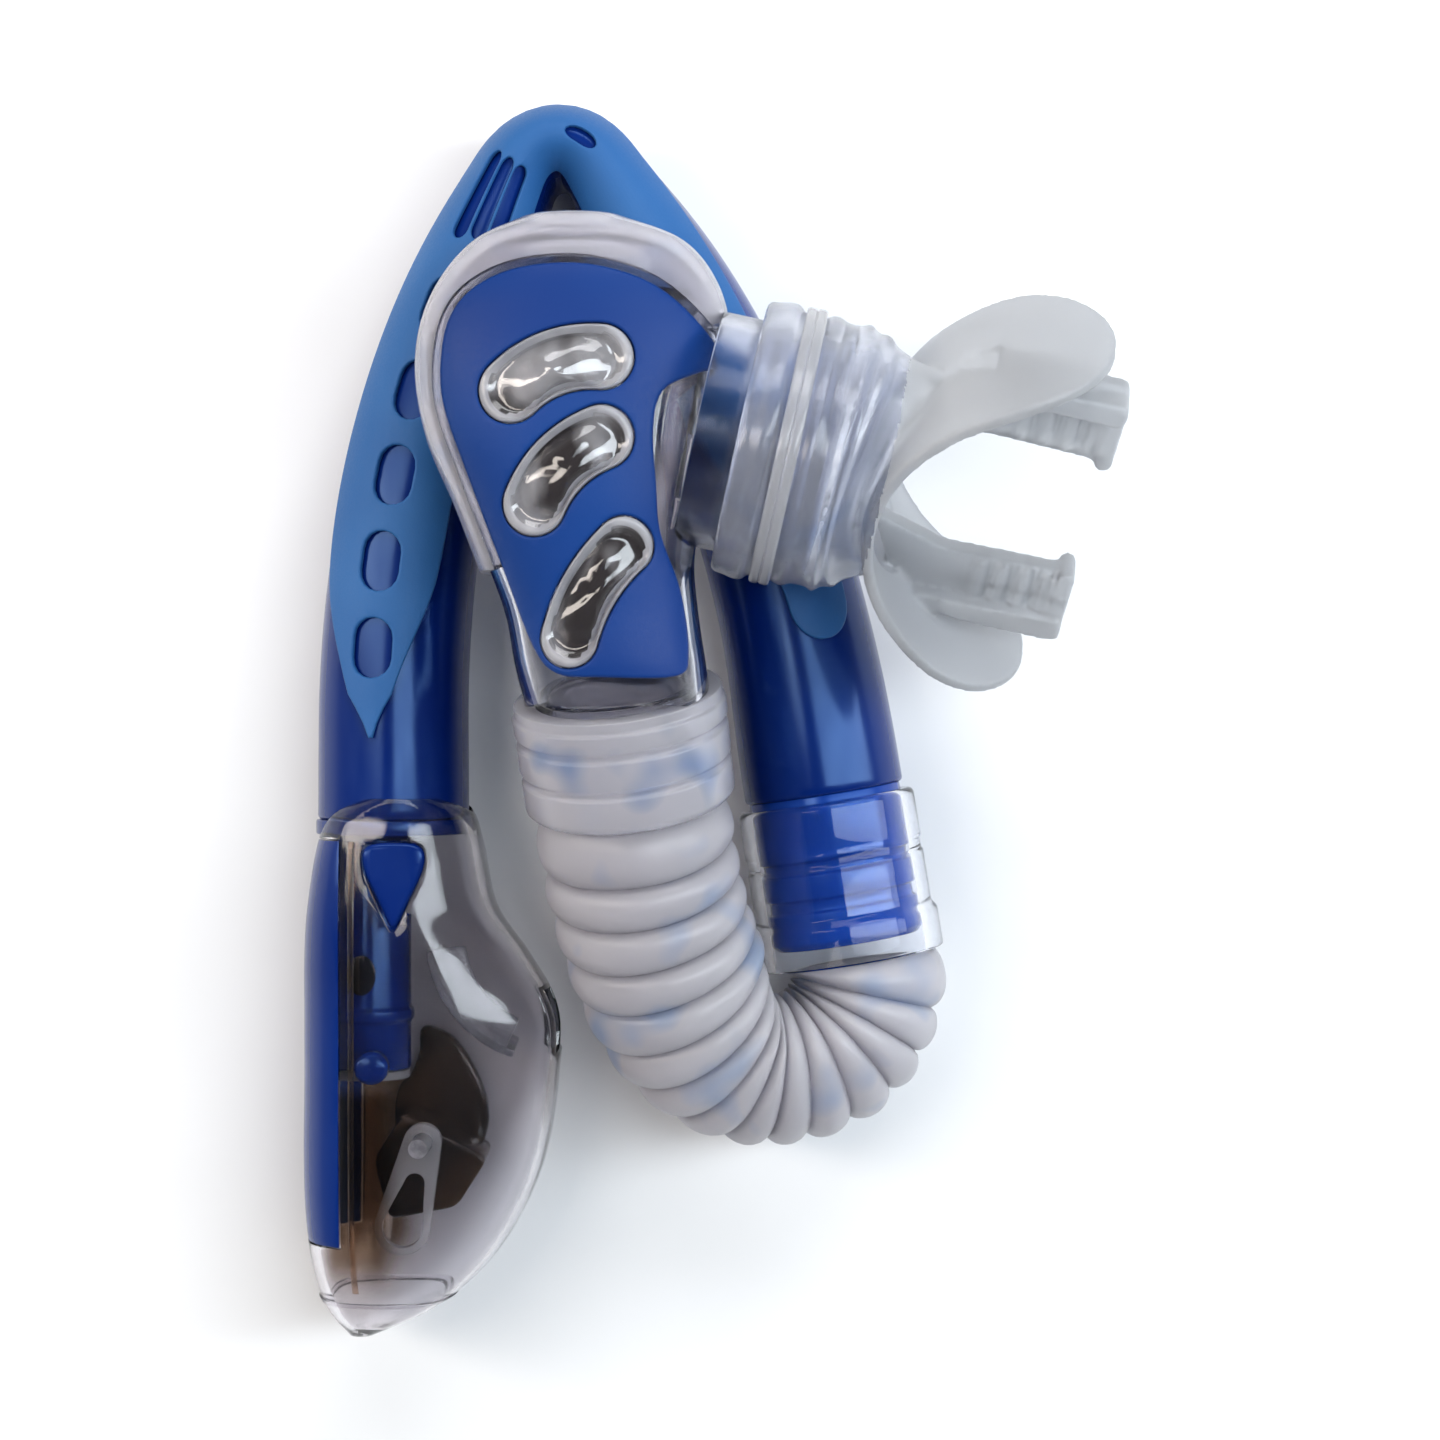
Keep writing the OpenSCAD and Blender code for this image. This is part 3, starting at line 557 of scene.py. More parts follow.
def make_barrel():
    lip = np.array([0, 0.25, 0.6])
    s = np.concatenate([lip, np.arange(1.5, BARREL_END - 1, 1.0), BARREL_END - lip[::-1]])
    off = np.zeros(len(s))
    off[[0, -1]] = -0.35
    off[[1, -2]] = -0.1
    t = np.arange(0, 360, 5)
    outer = barrel_point(s[:, None], t, off[:, None])
    inner = barrel_point(s[:, None], t, -BARREL_WALL)
    obj = shell("barrel", outer, inner, NAVY, 0.05, 60)
    bent_piece(obj, *FOLD_ENDS, "barrel_navy", "upper_barrel_tube", "barrel_bend", "lower_barrel_tube")


BAND_FROM, BAND_TO = 13, 205
# Along the barrel, then the two edges in degrees round it
BAND_EDGES = np.array([[13, 98, 101], [20, 84, 118], [38, 58, 147], [60, 52, 155], [114, 40, 150],
                       [125, 36, 140], [160, 60, 135], [195, 84, 132], [205, 86, 131]])
BAND_ROUND = 6
BAND_LIFT, BAND_THICK = 0.1, 1.05


def band_outline():
    """Outline of the band laid flat: distance along the barrel against arc round it, with 90 degrees at 0."""
    tip_from = BAND_TO - BAND_ROUND
    tip = BAND_TO - BAND_ROUND * (1 - np.sin(np.linspace(0.1, 1, 14) * math.pi / 2))
    s = np.concatenate([np.linspace(BAND_FROM, tip_from, 84), tip])
    low, high = stationed(BAND_EDGES, s)[:, 1:].T
    arc = math.radians(1) * BARREL_R
    middle, half = (high + low) / 2, (high - low) / 2
    half = half * np.sqrt(1 - clamp01((s - tip_from) / BAND_ROUND) ** 2 * 0.98)
    up = columns(s, (middle + half - 90) * arc)
    down = columns(s, (middle - half - 90) * arc)[::-1]
    return np.vstack([up, down])


def rounded_slot(x, y, length, width, steps=8):
    """A slot with round ends, centred on x, y."""
    r = width / 2
    a = np.radians(-90 + 180 * np.arange(steps + 1) / steps)
    cap = columns(length / 2 - r + r * np.cos(a), r * np.sin(a))
    return np.vstack([cap, -cap]) + (x, y)


def make_band():
    slots = [rounded_slot(27 + 13.5 * i, 2.2, 9.4, 6.2) for i in range(5)]
    slots += [rounded_slot(99 + 0.3 * i, 4.2 - 3.9 * i, 14.5 - 0.8 * i, 3.3) for i in range(3)]
    slots.append(rounded_slot(118.5, 0.6, 5.2, 4.2))

    def warp(x, y, h):
        return barrel_point(x, 90 + np.degrees(y / BARREL_R), BAND_LIFT + h)

    obj = plate("soft_band", [band_outline(), *slots], BAND_THICK, 0.35, BAND, 1.4, warp)
    bent_piece(obj, *FOLD_ENDS, "band_blue", "band_upper", "band_bend", "band_lower")


# ---------------------------------------------------------------- spigot, cuffs and hose
def axes_matrix(origin, z_axis, x_hint=(0, 0, 1)):
    z = unit(z_axis)
    x = unit(np.cross(np.cross(z, x_hint), z))
    y = np.cross(z, x)
    m = np.eye(4)
    m[:3, 0], m[:3, 1], m[:3, 2], m[:3, 3] = x, y, z, origin
    return m


END_CENTRE = barrel_frame(BARREL_END)[0][0]
END_HEAD = math.radians(float(heading(BARREL_END)))
END_DIR = np.array([math.sin(END_HEAD), math.cos(END_HEAD), 0])
END_AXES = axes_matrix(END_CENTRE, END_DIR)
SPIGOT_R = BARREL_R - 0.2
SPIGOT_LEN = 24
CUFF_R = SPIGOT_R + 2.1
CUFF_LEN = 27


def make_spigot():
    bore = BARREL_R - BARREL_WALL - 1.8
    outline = [(bore, -8), (bore + 1.7, -8), (bore + 1.7, 0.05), (SPIGOT_R, 0.05)]
    for at in (10, 16):
        groove = SPIGOT_R - 0.6
        outline += [(SPIGOT_R, at), (groove, at + 0.3), (groove, at + 2), (SPIGOT_R, at + 2.3)]
    outline += [(SPIGOT_R, SPIGOT_LEN - 1), (SPIGOT_R - 1, SPIGOT_LEN), (bore, SPIGOT_LEN)]
    obj = lathe("hose_spigot_looks", rounded(outline, 0.25), END_AXES, SPIGOT_NAVY_PAINTED_LIGHT)
    settle(obj, "lower_barrel", "spigot_navy", "hose_spigot")


def make_barrel_cuff():
    r = SPIGOT_R + 0.06
    outline = [(r, 1.2), (CUFF_R - 0.5, 1.2), (CUFF_R, 1.9), (CUFF_R, 9), (CUFF_R - 0.25, 9.4),
               (CUFF_R - 0.25, 11), (CUFF_R, 11.4), (CUFF_R, 19.6), (CUFF_R + 0.8, 20.8),
               (CUFF_R + 0.8, CUFF_LEN), (r, CUFF_LEN)]
    obj = lathe("hose_barrel_cuff_looks", rounded(outline, 0.4), END_AXES, CUFF)
    settle(obj, "hose", "clear_silicone", "hose_barrel_cuff")


HOSE_R = 15.3
HOSE_WALL = 1.3
CORRUGATIONS = 15
CUFF_BASE = np.array([-13.6, -12.6, 39.5])
CUFF_TILT, CUFF_YAW = math.radians(17), math.radians(6.5)
CUFF_AXIS = np.array([-math.sin(CUFF_YAW) * math.cos(CUFF_TILT), math.cos(CUFF_YAW) * math.cos(CUFF_TILT),
                      math.sin(CUFF_TILT)])
HOSE_LOW = np.array([8.4, -52.7, 19.1])
HOSE_LOW_DIR = unit([-0.985, 0, 0.17])
HOSE_DOWN = (END_CENTRE + END_DIR * (CUFF_LEN + 0.1), END_CENTRE + END_DIR * (CUFF_LEN + 7),
             HOSE_LOW - 10 * HOSE_LOW_DIR, HOSE_LOW)
HOSE_UP = (HOSE_LOW, HOSE_LOW + 12.4 * HOSE_LOW_DIR, CUFF_BASE - 29 * CUFF_AXIS, CUFF_BASE)
BEND_NORMAL = unit([8.5, 0, 26.5])
PRESSED_DEPTH = 6.6
# The corrugations are crowded in the bend and stretched above it: share of the length, share of their number
PITCH_KEYS = np.array([[0, 0], [0.2, 0.26], [0.4, 0.52], [0.55, 0.67], [0.75, 0.83], [1, 1]])
# Share of the hose's length, and how far the bend's inside is pressed in there
PRESSED_IN = np.array([[0, 0.4], [0.06, 0.9], [0.1, 1], [0.3, 1], [0.42, 0.6], [0.6, 0]])


def bezier(p, t):
    t = t[:, None]
    return (1 - t) ** 3 * p[0] + 3 * t * (1 - t) ** 2 * p[1] + 3 * t * t * (1 - t) * p[2] + t**3 * p[3]


def make_hose():
    rings, sides = 30 * CORRUGATIONS + 1, 72
    t = np.linspace(0, 1, 600)
    route = np.vstack([bezier(HOSE_DOWN, t), bezier(HOSE_UP, t)[1:]])
    run = np.concatenate([[0], np.cumsum(np.linalg.norm(np.diff(route, axis=0), axis=1))])
    share = np.linspace(0, 1, rings)
    centre = columns(*(np.interp(share * run[-1], run, side) for side in route.T))
    tangent = unit(np.gradient(centre, axis=0))
    tangent[0], tangent[-1] = END_DIR, CUFF_AXIS
    inner_way = unit(np.cross(tangent, BEND_NORMAL))
    up = np.cross(tangent, inner_way)
    pressed = np.interp(share, *PRESSED_IN.T)[:, None]
    turn = around(sides)
    phase = CORRUGATIONS * stationed(PITCH_KEYS, share)[:, 1:]
    crest = np.abs(np.sin(math.pi * phase)) ** 0.42
    fold = 2.6 * (1 - crest)

    def skin(off):
        ca, sa = np.cos(turn), np.sin(turn)
        reach = np.where(ca > 0, HOSE_R - PRESSED_DEPTH * pressed, HOSE_R) + off
        return (centre[:, None] + inner_way[:, None] * (reach * ca)[..., None]
                + up[:, None] * ((HOSE_R + off) * sa)[..., None])

    wobble = 0.22 * smooth_noise(phase * 1.9, turn * 2 + 0.7 * phase)
    obj = shell("corrugated_hose_looks", skin(wobble * crest - fold), skin(-0.8 * fold - HOSE_WALL), SILICONE,
                0.0, 75)
    bent_piece(obj, ("hose", "purge_body"), place([-2, -47, 23]), place([-12, -20, 36]), "clear_silicone",
               "corrugated_hose")


BODY_CUFF_LEN = 17.6
BODY_CUFF_AXES = axes_matrix(CUFF_BASE, CUFF_AXIS)


def make_body_cuff():
    outline = [(12.7, 0.2), (15.2, 0.2), (16.1, 1.2), (16.1, 5.6), (15.7, 6), (15.7, 6.8), (16.2, 7.2),
               (16.2, 11.4), (15.8, 11.8), (15.8, 12.6), (16.3, 13), (16.3, 15.6), (15.9, 16),
               (15.9, BODY_CUFF_LEN), (12.7, BODY_CUFF_LEN)]
    obj = lathe("hose_body_cuff_looks", rounded(outline, 0.35), BODY_CUFF_AXES, SOFT_CUFF)
    settle(obj, "purge_body", "clear_silicone", "hose_body_cuff")
    inner = [(10.8, 5), (12.6, 5), (12.6, 8), (12.3, 8.3), (12.3, 9.6), (12.6, 10), (12.6, BODY_CUFF_LEN + 1),
             (10.8, BODY_CUFF_LEN + 1)]
    obj = lathe("body_spigot_looks", rounded(inner, 0.25), BODY_CUFF_AXES, CLEAR)
    settle(obj, "purge_body", "clear_plastic", "body_spigot")


# ---------------------------------------------------------------- purge body
# Along Y: left and right side, height of the middle, half depth
BODY_STATIONS = np.array([[2, -31, 0.4, 44, 17.2], [8, -32.4, -0.4, 45.8, 17], [16, -33.8, -1.6, 47.4, 16],
                          [24, -36.6, -2.2, 48.6, 16.2], [32, -39.6, -0.8, 49.6, 16.8],
                          [41, -43.4, 0.8, 50.2, 17.2], [50, -45.2, 1.6, 50.4, 17.4],
                          [58, -44.6, 1.6, 50.6, 17.2], [65, -41.6, -0.4, 50.8, 16.4],
                          [70.6, -36.6, -5, 51, 14], [73.8, -30, -13, 51, 10]])
BODY_SQUARE = 2.5
# How far under the hood's skin the insert's seat, the chamber's outside and its inside lie
SEAT, CHAMBER_OUT, CHAMBER_IN = -1.5, -1.6, -3.4
BODY_FINE = spline(BODY_STATIONS, np.linspace(0, len(BODY_STATIONS) - 1, 300))


def circle(centre, r, steps=40):
    a = around(steps)
    return columns(centre[0] + r * np.cos(a), centre[1] + r * np.sin(a))


def superellipse(a, b, power, sides):
    c, s = np.cos(around(sides)), np.sin(around(sides))
    return a * np.sign(c) * np.abs(c) ** (2 / power), b * np.sign(s) * np.abs(s) ** (2 / power)


def body_y(y, off):
    """Only the body's top end grows along Y."""
    return y + off * clamp01((y - 60) / 14)


def body_rings(off, count=70, sides=72):
    rings = []
    for q in spline(BODY_STATIONS, (len(BODY_STATIONS) - 1) * np.linspace(0, 1, count)):
        x, z = superellipse((q[2] - q[1]) / 2 + off, q[4] + off, BODY_SQUARE, sides)
        rings.append(columns((q[1] + q[2]) / 2 + x, body_y(q[0], off), q[3] - z))
    last = rings[-1]
    for share, lift in ((0.9, 0.35), (0.72, 0.65), (0.45, 0.8)):
        rings.append(last.mean(0) + (last - last.mean(0)) * share + (0, lift, 0))
    return rings


def body_height(x, y, off, way=1):
    """Height of the body's front (way 1) or back (way -1) skin over a point in plan."""
    moved = body_y(BODY_FINE[:, 0], off)
    left, right, mid, tall = (np.interp(y, moved, BODY_FINE[:, i]) for i in (1, 2, 3, 4))
    share = np.minimum(np.abs(x - (left + right) / 2) / ((right - left) / 2 + off), 1)
    return mid + way * (tall + off) * (1 - share**BODY_SQUARE) ** (1 / BODY_SQUARE)


TRIM = [[-40.4, 53], [-39, 58.5], [-35.4, 62.4], [-28.6, 65], [-19, 65.4], [-9.5, 62.6], [-2.5, 57],
        [0.6, 52.4], [-3.4, 50.2], [-8.2, 47.4], [-9.6, 42], [-9.2, 34], [-8.6, 27], [-5.8, 19], [-4.6, 10],
        [-6.4, 6.4], [-17.5, 6.2], [-23.8, 6.8], [-27.4, 11], [-31.6, 22], [-36.8, 36], [-40.2, 46]]
# Centre, half length, half width, turn in degrees, bow
WINDOWS = {"upper_window": ((-24, 51), 11.6, 4.7, 20, 0.36),
           "middle_window": ((-22.8, 36.8), 11.4, 4.6, 44, 0.34),
           "lower_window": ((-18.8, 19), 12, 4.2, 59, 0.22)}
RIM_WIDE = 1.25
NECK_YAW = math.radians(-12.5)
NECK_DIR = np.array([math.cos(NECK_YAW), math.sin(NECK_YAW), 0])
NECK_AXES = axes_matrix(NECK_BASE, NECK_DIR)
NECK_R = 20
SOCKET_R = NECK_R - 2.6


def bean(window, off, steps=17):
    """Outline of a bowed window with round ends, grown by off."""
    centre, length, width, turn, bow = window
    x = np.linspace(width - length, length - width, steps)
    line = columns(x, -bow * x * x / length)
    along = unit(np.gradient(line, axis=0))
    up = columns(-along[:, 1], along[:, 0])
    r = width + off

    def cap(i, way):
        a = np.radians(np.linspace(90, -90, steps)[1:-1])[:, None]
        return line[i] + way * (along[i] * np.cos(a) + up[i] * np.sin(a)) * r

    p = np.vstack([line + up * r, cap(-1, 1), (line - up * r)[::-1], cap(0, -1)])
    return columns(*turned(*p.T, math.radians(turn))) + centre


def prism_cutter(outline, low, high, axes=np.eye(4)):
    rings = [moved_by(columns(*np.transpose(outline), z), axes) for z in (low, high)]
    return solid("cutter", rings, CLEAR)


def cylinder_cutter(r, low, high, axes):
    return prism_cutter(circle((0, 0), r, 64), low, high, axes)


def make_chamber():
    outer = solid("purge_chamber_looks", body_rings(CHAMBER_OUT), CLEAR, 50)
    cut(outer, solid("cutter", body_rings(CHAMBER_IN), CLEAR))
    cut(outer, cylinder_cutter(20, -20, BODY_CUFF_LEN + 0.15, BODY_CUFF_AXES))
    cut(outer, cylinder_cutter(SOCKET_R + 0.1, -7, 7, NECK_AXES))
    smooth(outer, 45)
    settle(outer, "purge_body", "clear_plastic", "purge_chamber")
    r = SOCKET_R
    outline = [(r - 1.8, -6.9), (r, -6.9), (r, 9.5), (r + 0.5, 10), (r, 12), (r - 1.8, 12)]
    socket = lathe("mouthpiece_socket_looks", rounded(outline, 0.3), NECK_AXES, SOCKET)
    cut(socket, solid("cutter", body_rings(CHAMBER_IN - 0.05), CLEAR))
    smooth(socket, 40)
    settle(socket, "purge_body", "clear_plastic", "mouthpiece_socket")


def offset_outline(outline, off):
    p = np.asarray(outline, float)
    ahead, behind = np.roll(p, -1, 0), np.roll(p, 1, 0)
    t = unit(ahead - behind)
    n = columns(t[:, 1], -t[:, 0])
    area = np.sum(p[:, 0] * ahead[:, 1] - ahead[:, 0] * p[:, 1])
    return p + n * off * (1 if area > 0 else -1)


def make_hood():
    obj = solid("purge_hood_looks", body_rings(0, 90, 96), HOOD, 50)
    cut(obj, solid("cutter", body_rings(SEAT), HOOD))
    away = [(-70, -20), (30, -20), (30, 58), (0, 58), (-14, 50), (-30, 22), (-70, 22)]
    cut(obj, prism_cutter(away, 0, 100))
    cut(obj, cylinder_cutter(NECK_R + 1.2, 0.6, 28, NECK_AXES))
    cut(obj, prism_cutter(offset_outline(closed_spline(TRIM, 4), 1.2), 0, 100))
    soften(obj, 0.5, 3)
    settle(obj, "purge_body", "clear_silicone", "purge_hood")


def make_inserts():
    outline = closed_spline(TRIM, 5)
    for node, way, cell, holes in (("front_insert", 1, 1.4, [bean(w, 0.15) for w in WINDOWS.values()]),
                                   ("rear_insert", -1, 1.8, [])):
        obj = plate(node + "_looks", [outline, *holes], 1.25, 0.4, INSERT, cell,
                    lambda x, y, h: columns(x, y, body_height(x, y, SEAT, way) + way * h))
        settle(obj, "purge_body", "insert_blue", node)


# Share of the way out from a window's middle, and height over the insert's seat there
WINDOW_DOME = [(1, -0.6), (1, 0.9), (0.985, 1.45), (0.94, 1.7), (0.88, 1.35), (0.82, 0.7), (0.76, 0.35),
               (0.68, 0.55), (0.56, 1.15), (0.4, 1.6), (0.2, 1.85), (0.05, 1.9)]
WINDOW_UNDER_FROM = 3


def make_window(node, window, seed):
    """A clear dome with a rolled rim, seated in its hole of the insert."""
    edge = bean(window, -0.05, 24)
    middle = edge.mean(0)
    rows = []
    for share, lift in WINDOW_DOME:
        xy = middle + (edge - middle) * share
        ripple = 0.32 * smooth_noise(xy[:, 0] * 0.9, xy[:, 1] * 0.8, seed) * (1 - share)
        rows.append(columns(*xy.T, body_height(*xy.T, SEAT) + lift + ripple))
    under = [row - (0, 0, 1.2) for row in rows[WINDOW_UNDER_FROM:]]
    obj = solid(node + "_looks", [*under[::-1], *rows], LENS, 60)
    obj.data.materials.append(RIM)
    for face in obj.data.polygons:
        at = (np.array(face.center) / MM - SHIFT)[:2]
        face.material_index = int(np.min(np.linalg.norm(edge - at, axis=1)) < RIM_WIDE)
    settle(obj, "purge_body", "clear_plastic", node)


# CAD nodes that are seen as they are
PAINTED_NODES = {"purge_valve_seat": CLEAR, "purge_membrane": GREY, "float_pivot_pin": STEEL,
                 "float_lever": FROST, "seal_flap": GREY}


# ---------------------------------------------------------------- mouthpiece
MOUTH_ROLL = math.radians(40)
SHIELD_AT, SHIELD_W, SHIELD_H, SHIELD_DEEP, SHIELD_TURN, SHIELD_T = 19, 59, 33, 36, 80, 1.8
TAB_END = 53
THROAT_AT, THROAT_A, THROAT_B = 14, 17.6, 11.6
# The glassy neck's own material ends here along its axis, and bows back to the sides
NECK_CLEAR_TO, NECK_CLEAR_BOW = 22, 0.0028


def mouth_points(p):
    """From the mouthpiece's own frame (+X to the mouth, wide along Y) to the design frame."""
    y, z = turned(p[..., 1], p[..., 2], MOUTH_ROLL)
    return columns(*turned(p[..., 0], y, NECK_YAW), z) + NECK_BASE


def neck_profile():
    r = NECK_R
    return [(SOCKET_R + 0.08, -0.8), (r - 0.2, -0.8), (r + 0.4, -0.2), (r + 0.4, 1.4), (r + 0.8, 2.2),
            (r + 0.8, 4), (r - 0.2, 4.7), (r - 0.4, 5.2), (r - 0.4, 8.2), (r + 0.25, 9), (r + 0.25, 10.4),
            (r - 0.4, 11), (r - 0.4, 13), (r - 0.4, 14),
            (SOCKET_R + 1, 14), (SOCKET_R + 1, 12.6), (SOCKET_R + 0.7, 12.4), (SOCKET_R + 0.7, 9.4),
            (SOCKET_R + 0.08, 9.1)]


def throat_rows(off, sides=72):
    rows = []
    for t in np.linspace(0, 1, 32):
        k = ease(1.15 * t)
        rib = 0.8 * sum(math.exp(-(((t - at) / 0.05) ** 2)) for at in (0.1, 0.32)) if off == 0 else 0
        halves = (mix(NECK_R - 0.4, half, k) + off + rib for half in (THROAT_A, THROAT_B))
        y, z = superellipse(*halves, 2, sides)
        c = np.sqrt(np.maximum(1 - (y / (SHIELD_W / 2)) ** 2, 0))
        face = SHIELD_AT + SHIELD_DEEP * (1 - c) + SHIELD_T * 0.5 * c
        rows.append(mouth_points(columns(mix(THROAT_AT - 0.5, face, t), y, z)))
    return rows


def shield_rows(off, cols=60, lines=22):
    rows = []
    for t in np.sin(np.linspace(-1, 1, cols) * math.pi / 2):
        a = math.radians(t * SHIELD_TURN)
        half = SHIELD_H / 2 * math.sqrt(max(0.004, 1 - (max(0, abs(t) - 0.62) / 0.381) ** 2))
        w = np.linspace(-1, 1, lines)
        flare = 0.9 * np.abs(w) ** 3 * half / (SHIELD_H / 2)
        x = SHIELD_AT + SHIELD_DEEP * (1 - math.cos(a)) + off * math.cos(a) + flare
        rows.append(mouth_points(columns(x, (SHIELD_W / 2 - off) * math.sin(a), w * half)))
    return rows


def slab(name, top, under, mat):
    """A closed plate between two grids."""
    top, under = np.asarray(top), np.asarray(under)
    n, m = top.shape[:2]
    verts = np.vstack([top.reshape(-1, 3), under.reshape(-1, 3)])
    faces = []
    for i in range(n - 1):
        for k in range(m - 1):
            q = (i * m + k, i * m + k + 1, (i + 1) * m + k + 1, (i + 1) * m + k)
            faces.append(q)
            faces.append(tuple(v + n * m for v in q[::-1]))
    at = np.arange(n * m).reshape(n, m)
    rim = [*at[0], *at[1:, -1], *at[-1, -2::-1], *at[-2:0:-1, 0]]
    for a, b in zip(rim, rim[1:] + rim[:1]):
        faces.append((b, a, a + n * m, b + n * m))
    return mesh_object(name, place(verts), faces, mat)


def tab_solid(name, way):
    """One bite tab: a plate with a thick rim and a row of bumps, joined to the shield by a web."""
    pieces = []

    def block(outline, low, high):
        outline = rounded(outline, 1.2)
        rings = [mouth_points(columns(*outline.T, z) * (1, way, 1)) for z in (low, high)]
        pieces.append(solid(name + "_block", rings, MOUTH))

    e = TAB_END
    block([(21, 7), (33, 10.8), (e - 0.6, 10.2), (e - 0.6, 21), (37.4, 20.8), (26, 17.6)], -1.6, 1.6)
    block([(30, 18.2), (38, 18.2), (e, 17.8), (e, 21.6), (37, 21.6), (28.6, 19.6)], -4.2, 4.2)
    block([(e - 2.6, 9.6), (e, 9.6), (e, 19), (e - 2.6, 19)], -3.2, 3.2)
    for i in range(4):
        x = 38 + 3.4 * i
        block([(x, 11.2), (x + 1.7, 11.2), (x + 1.7, 18), (x, 18)], -2.5, 2.5)
    return pieces


def join(objs, name):
    bm = bmesh.new()
    for o in objs:
        bm.from_mesh(o.data)
    mesh = bpy.data.meshes.new(name)
    bm.to_mesh(mesh)
    bm.free()
    mat = objs[0].data.materials[0]
    for o in objs:
        bpy.data.objects.remove(o)
    obj = link(name, mesh)
    paint(obj, mat)
    return obj


def fuse(objs, name, voxel, passes):
    """One moulded body out of overlapping solids: voxel remesh, then a little smoothing."""
    obj = join(objs, name)
    remesh = obj.modifiers.new("fuse", "REMESH")
    remesh.mode = "VOXEL"
    remesh.voxel_size = voxel * MM
    relax = obj.modifiers.new("relax", "SMOOTH")
    relax.factor = 0.5
    relax.iterations = passes
    mat = obj.data.materials[0]
    apply_modifiers(obj)
    paint(obj, mat)
    smooth(obj, 180)
    return obj


def make_mouthpiece():
    parts = [lathe("neck", rounded(neck_profile(), 0.3), NECK_AXES, MOUTH)]
    parts.append(shell("throat", throat_rows(0), throat_rows(-1.7), MOUTH, 0.1))
    shield = slab("shield", shield_rows(SHIELD_T), shield_rows(0), MOUTH)
    hole = [mouth_points(columns(x, *superellipse(THROAT_A - 1, THROAT_B - 1, 2, 48))) for x in (10, 40)]
    parts.append(cut(shield, solid("cutter", hole, MOUTH)))
    for way in (1, -1):
        parts += tab_solid("tab", way)
    obj = fuse(parts, "mouthpiece_looks", 0.45, 9)
    obj.data.materials.append(NECK)
    to_neck = np.linalg.inv(NECK_AXES)
    for face in obj.data.polygons:
        here = to_neck @ np.append(np.array(face.center) / MM - SHIFT, 1)
        face.material_index = int(here[2] < NECK_CLEAR_TO - NECK_CLEAR_BOW * (here[0] ** 2 + here[1] ** 2))
    settle(obj, "mouthpiece", "clear_silicone", "mouthpiece_neck", "lip_shield", "upper_bite_tab",
                 "lower_bite_tab")
    r = NECK_R
    outline = [(r - 0.35, 5.1), (r + 0.5, 5.1), (r + 0.75, 5.5), (r + 0.75, 6.4), (r + 0.45, 6.6),
               (r + 0.75, 6.8), (r + 0.75, 7.8), (r + 0.5, 8.2), (r - 0.35, 8.2)]
    ring = lathe("retaining_ring_looks", rounded(outline, 0.2), NECK_AXES, FROST)
    settle(ring, "mouthpiece", "clear_plastic", "retaining_ring")


# ---------------------------------------------------------------- dry top
# Y, left and right side, share of the full depth
COVER_STATIONS = np.array([
    [-12.4, -58.4, -43.2, 0.86], [-14.6, -62.4, -40, 0.9], [-20, -64.6, -38.2, 0.93], [-30, -66.2, -36, 0.97],
    [-38, -66.7, -30.6, 0.99], [-47, -66.7, -25.8, 1], [-58, -66.7, -26, 1], [-70, -66.8, -28, 0.98],
    [-80, -66.4, -32.2, 0.92], [-88, -65.2, -38, 0.82], [-94, -63, -45.6, 0.66], [-98.4, -59.6, -55, 0.3]])
COVER_DEPTH, COVER_WALL, COVER_SQUARE = 32.6, 1.6, 2.6
COVER_END, COVER_INSIDE_END = len(COVER_STATIONS) - 1, 10.6
SHIELD_X, SHIELD_Y = -59.4, (-83, -18.7)
BUTTON_AT = np.array([-51, -26.4])
REFLECTION_RIB_X, REFLECTION_RIB_Y = -57.6, (-19, -90)
STUD_AT = np.array([-54.6, -54.6])
CARRIER_X, CARRIER_TOP, CARRIER_LEN, CARRIER_R = -56, -15.9, 40, 6.2
FLOAT_PIN = np.array([-47.2, -67])
LOUVRE_AT, LOUVRE_R = np.array([-26, -34]), 20.6
OVAL_AT, OVAL_SIZE = np.array([-57, -40.6]), np.array([2.3, 3.2])


def cover_rings(off, to=COVER_END, count=64, sides=72, start=0.0):
    rings = []
    for q in spline(COVER_STATIONS, np.linspace(start, to, count)):
        x, z = superellipse((q[2] - q[1]) / 2 + off, COVER_DEPTH / 2 * q[3] + off, COVER_SQUARE, sides)
        rings.append(columns((q[1] + q[2]) / 2 + x, q[0], LIE_Z + z))
    return rings


def cover_height(x, y, off=0.0):
    fine = spline(COVER_STATIONS, np.linspace(0, COVER_END, 300))[::-1]
    left, right, deep = (np.interp(y, fine[:, 0], fine[:, i]) for i in (1, 2, 3))
    share = np.minimum(np.abs(x - (left + right) / 2) / ((right - left) / 2 + off), 1)
    return LIE_Z + (COVER_DEPTH / 2 * deep + off) * (1 - share**COVER_SQUARE) ** (1 / COVER_SQUARE)


def box_cutter(low, high):
    (x0, y0, z0), (x1, y1, z1) = low, high
    return prism_cutter([(x0, y0), (x1, y0), (x1, y1), (x0, y1)], z0, z1)


def spade_outline(off=0.0, steps=8):
    points = [(-4.2, 6.6), (0, 7.3), (4.2, 6.6), (4.7, 3.4), (2.4, -2), (0.5, -6), (0, -6.4), (-0.5, -6),
              (-2.4, -2), (-4.7, 3.4)]
    return offset_outline(closed_spline(points, steps), off) + BUTTON_AT


def cover_shell(name, off, mat):
    """A wall of the cover's shape."""
    obj = solid(name, cover_rings(off), mat, 50)
    return cut(obj, solid("cutter", cover_rings(-COVER_WALL, COVER_INSIDE_END), mat))


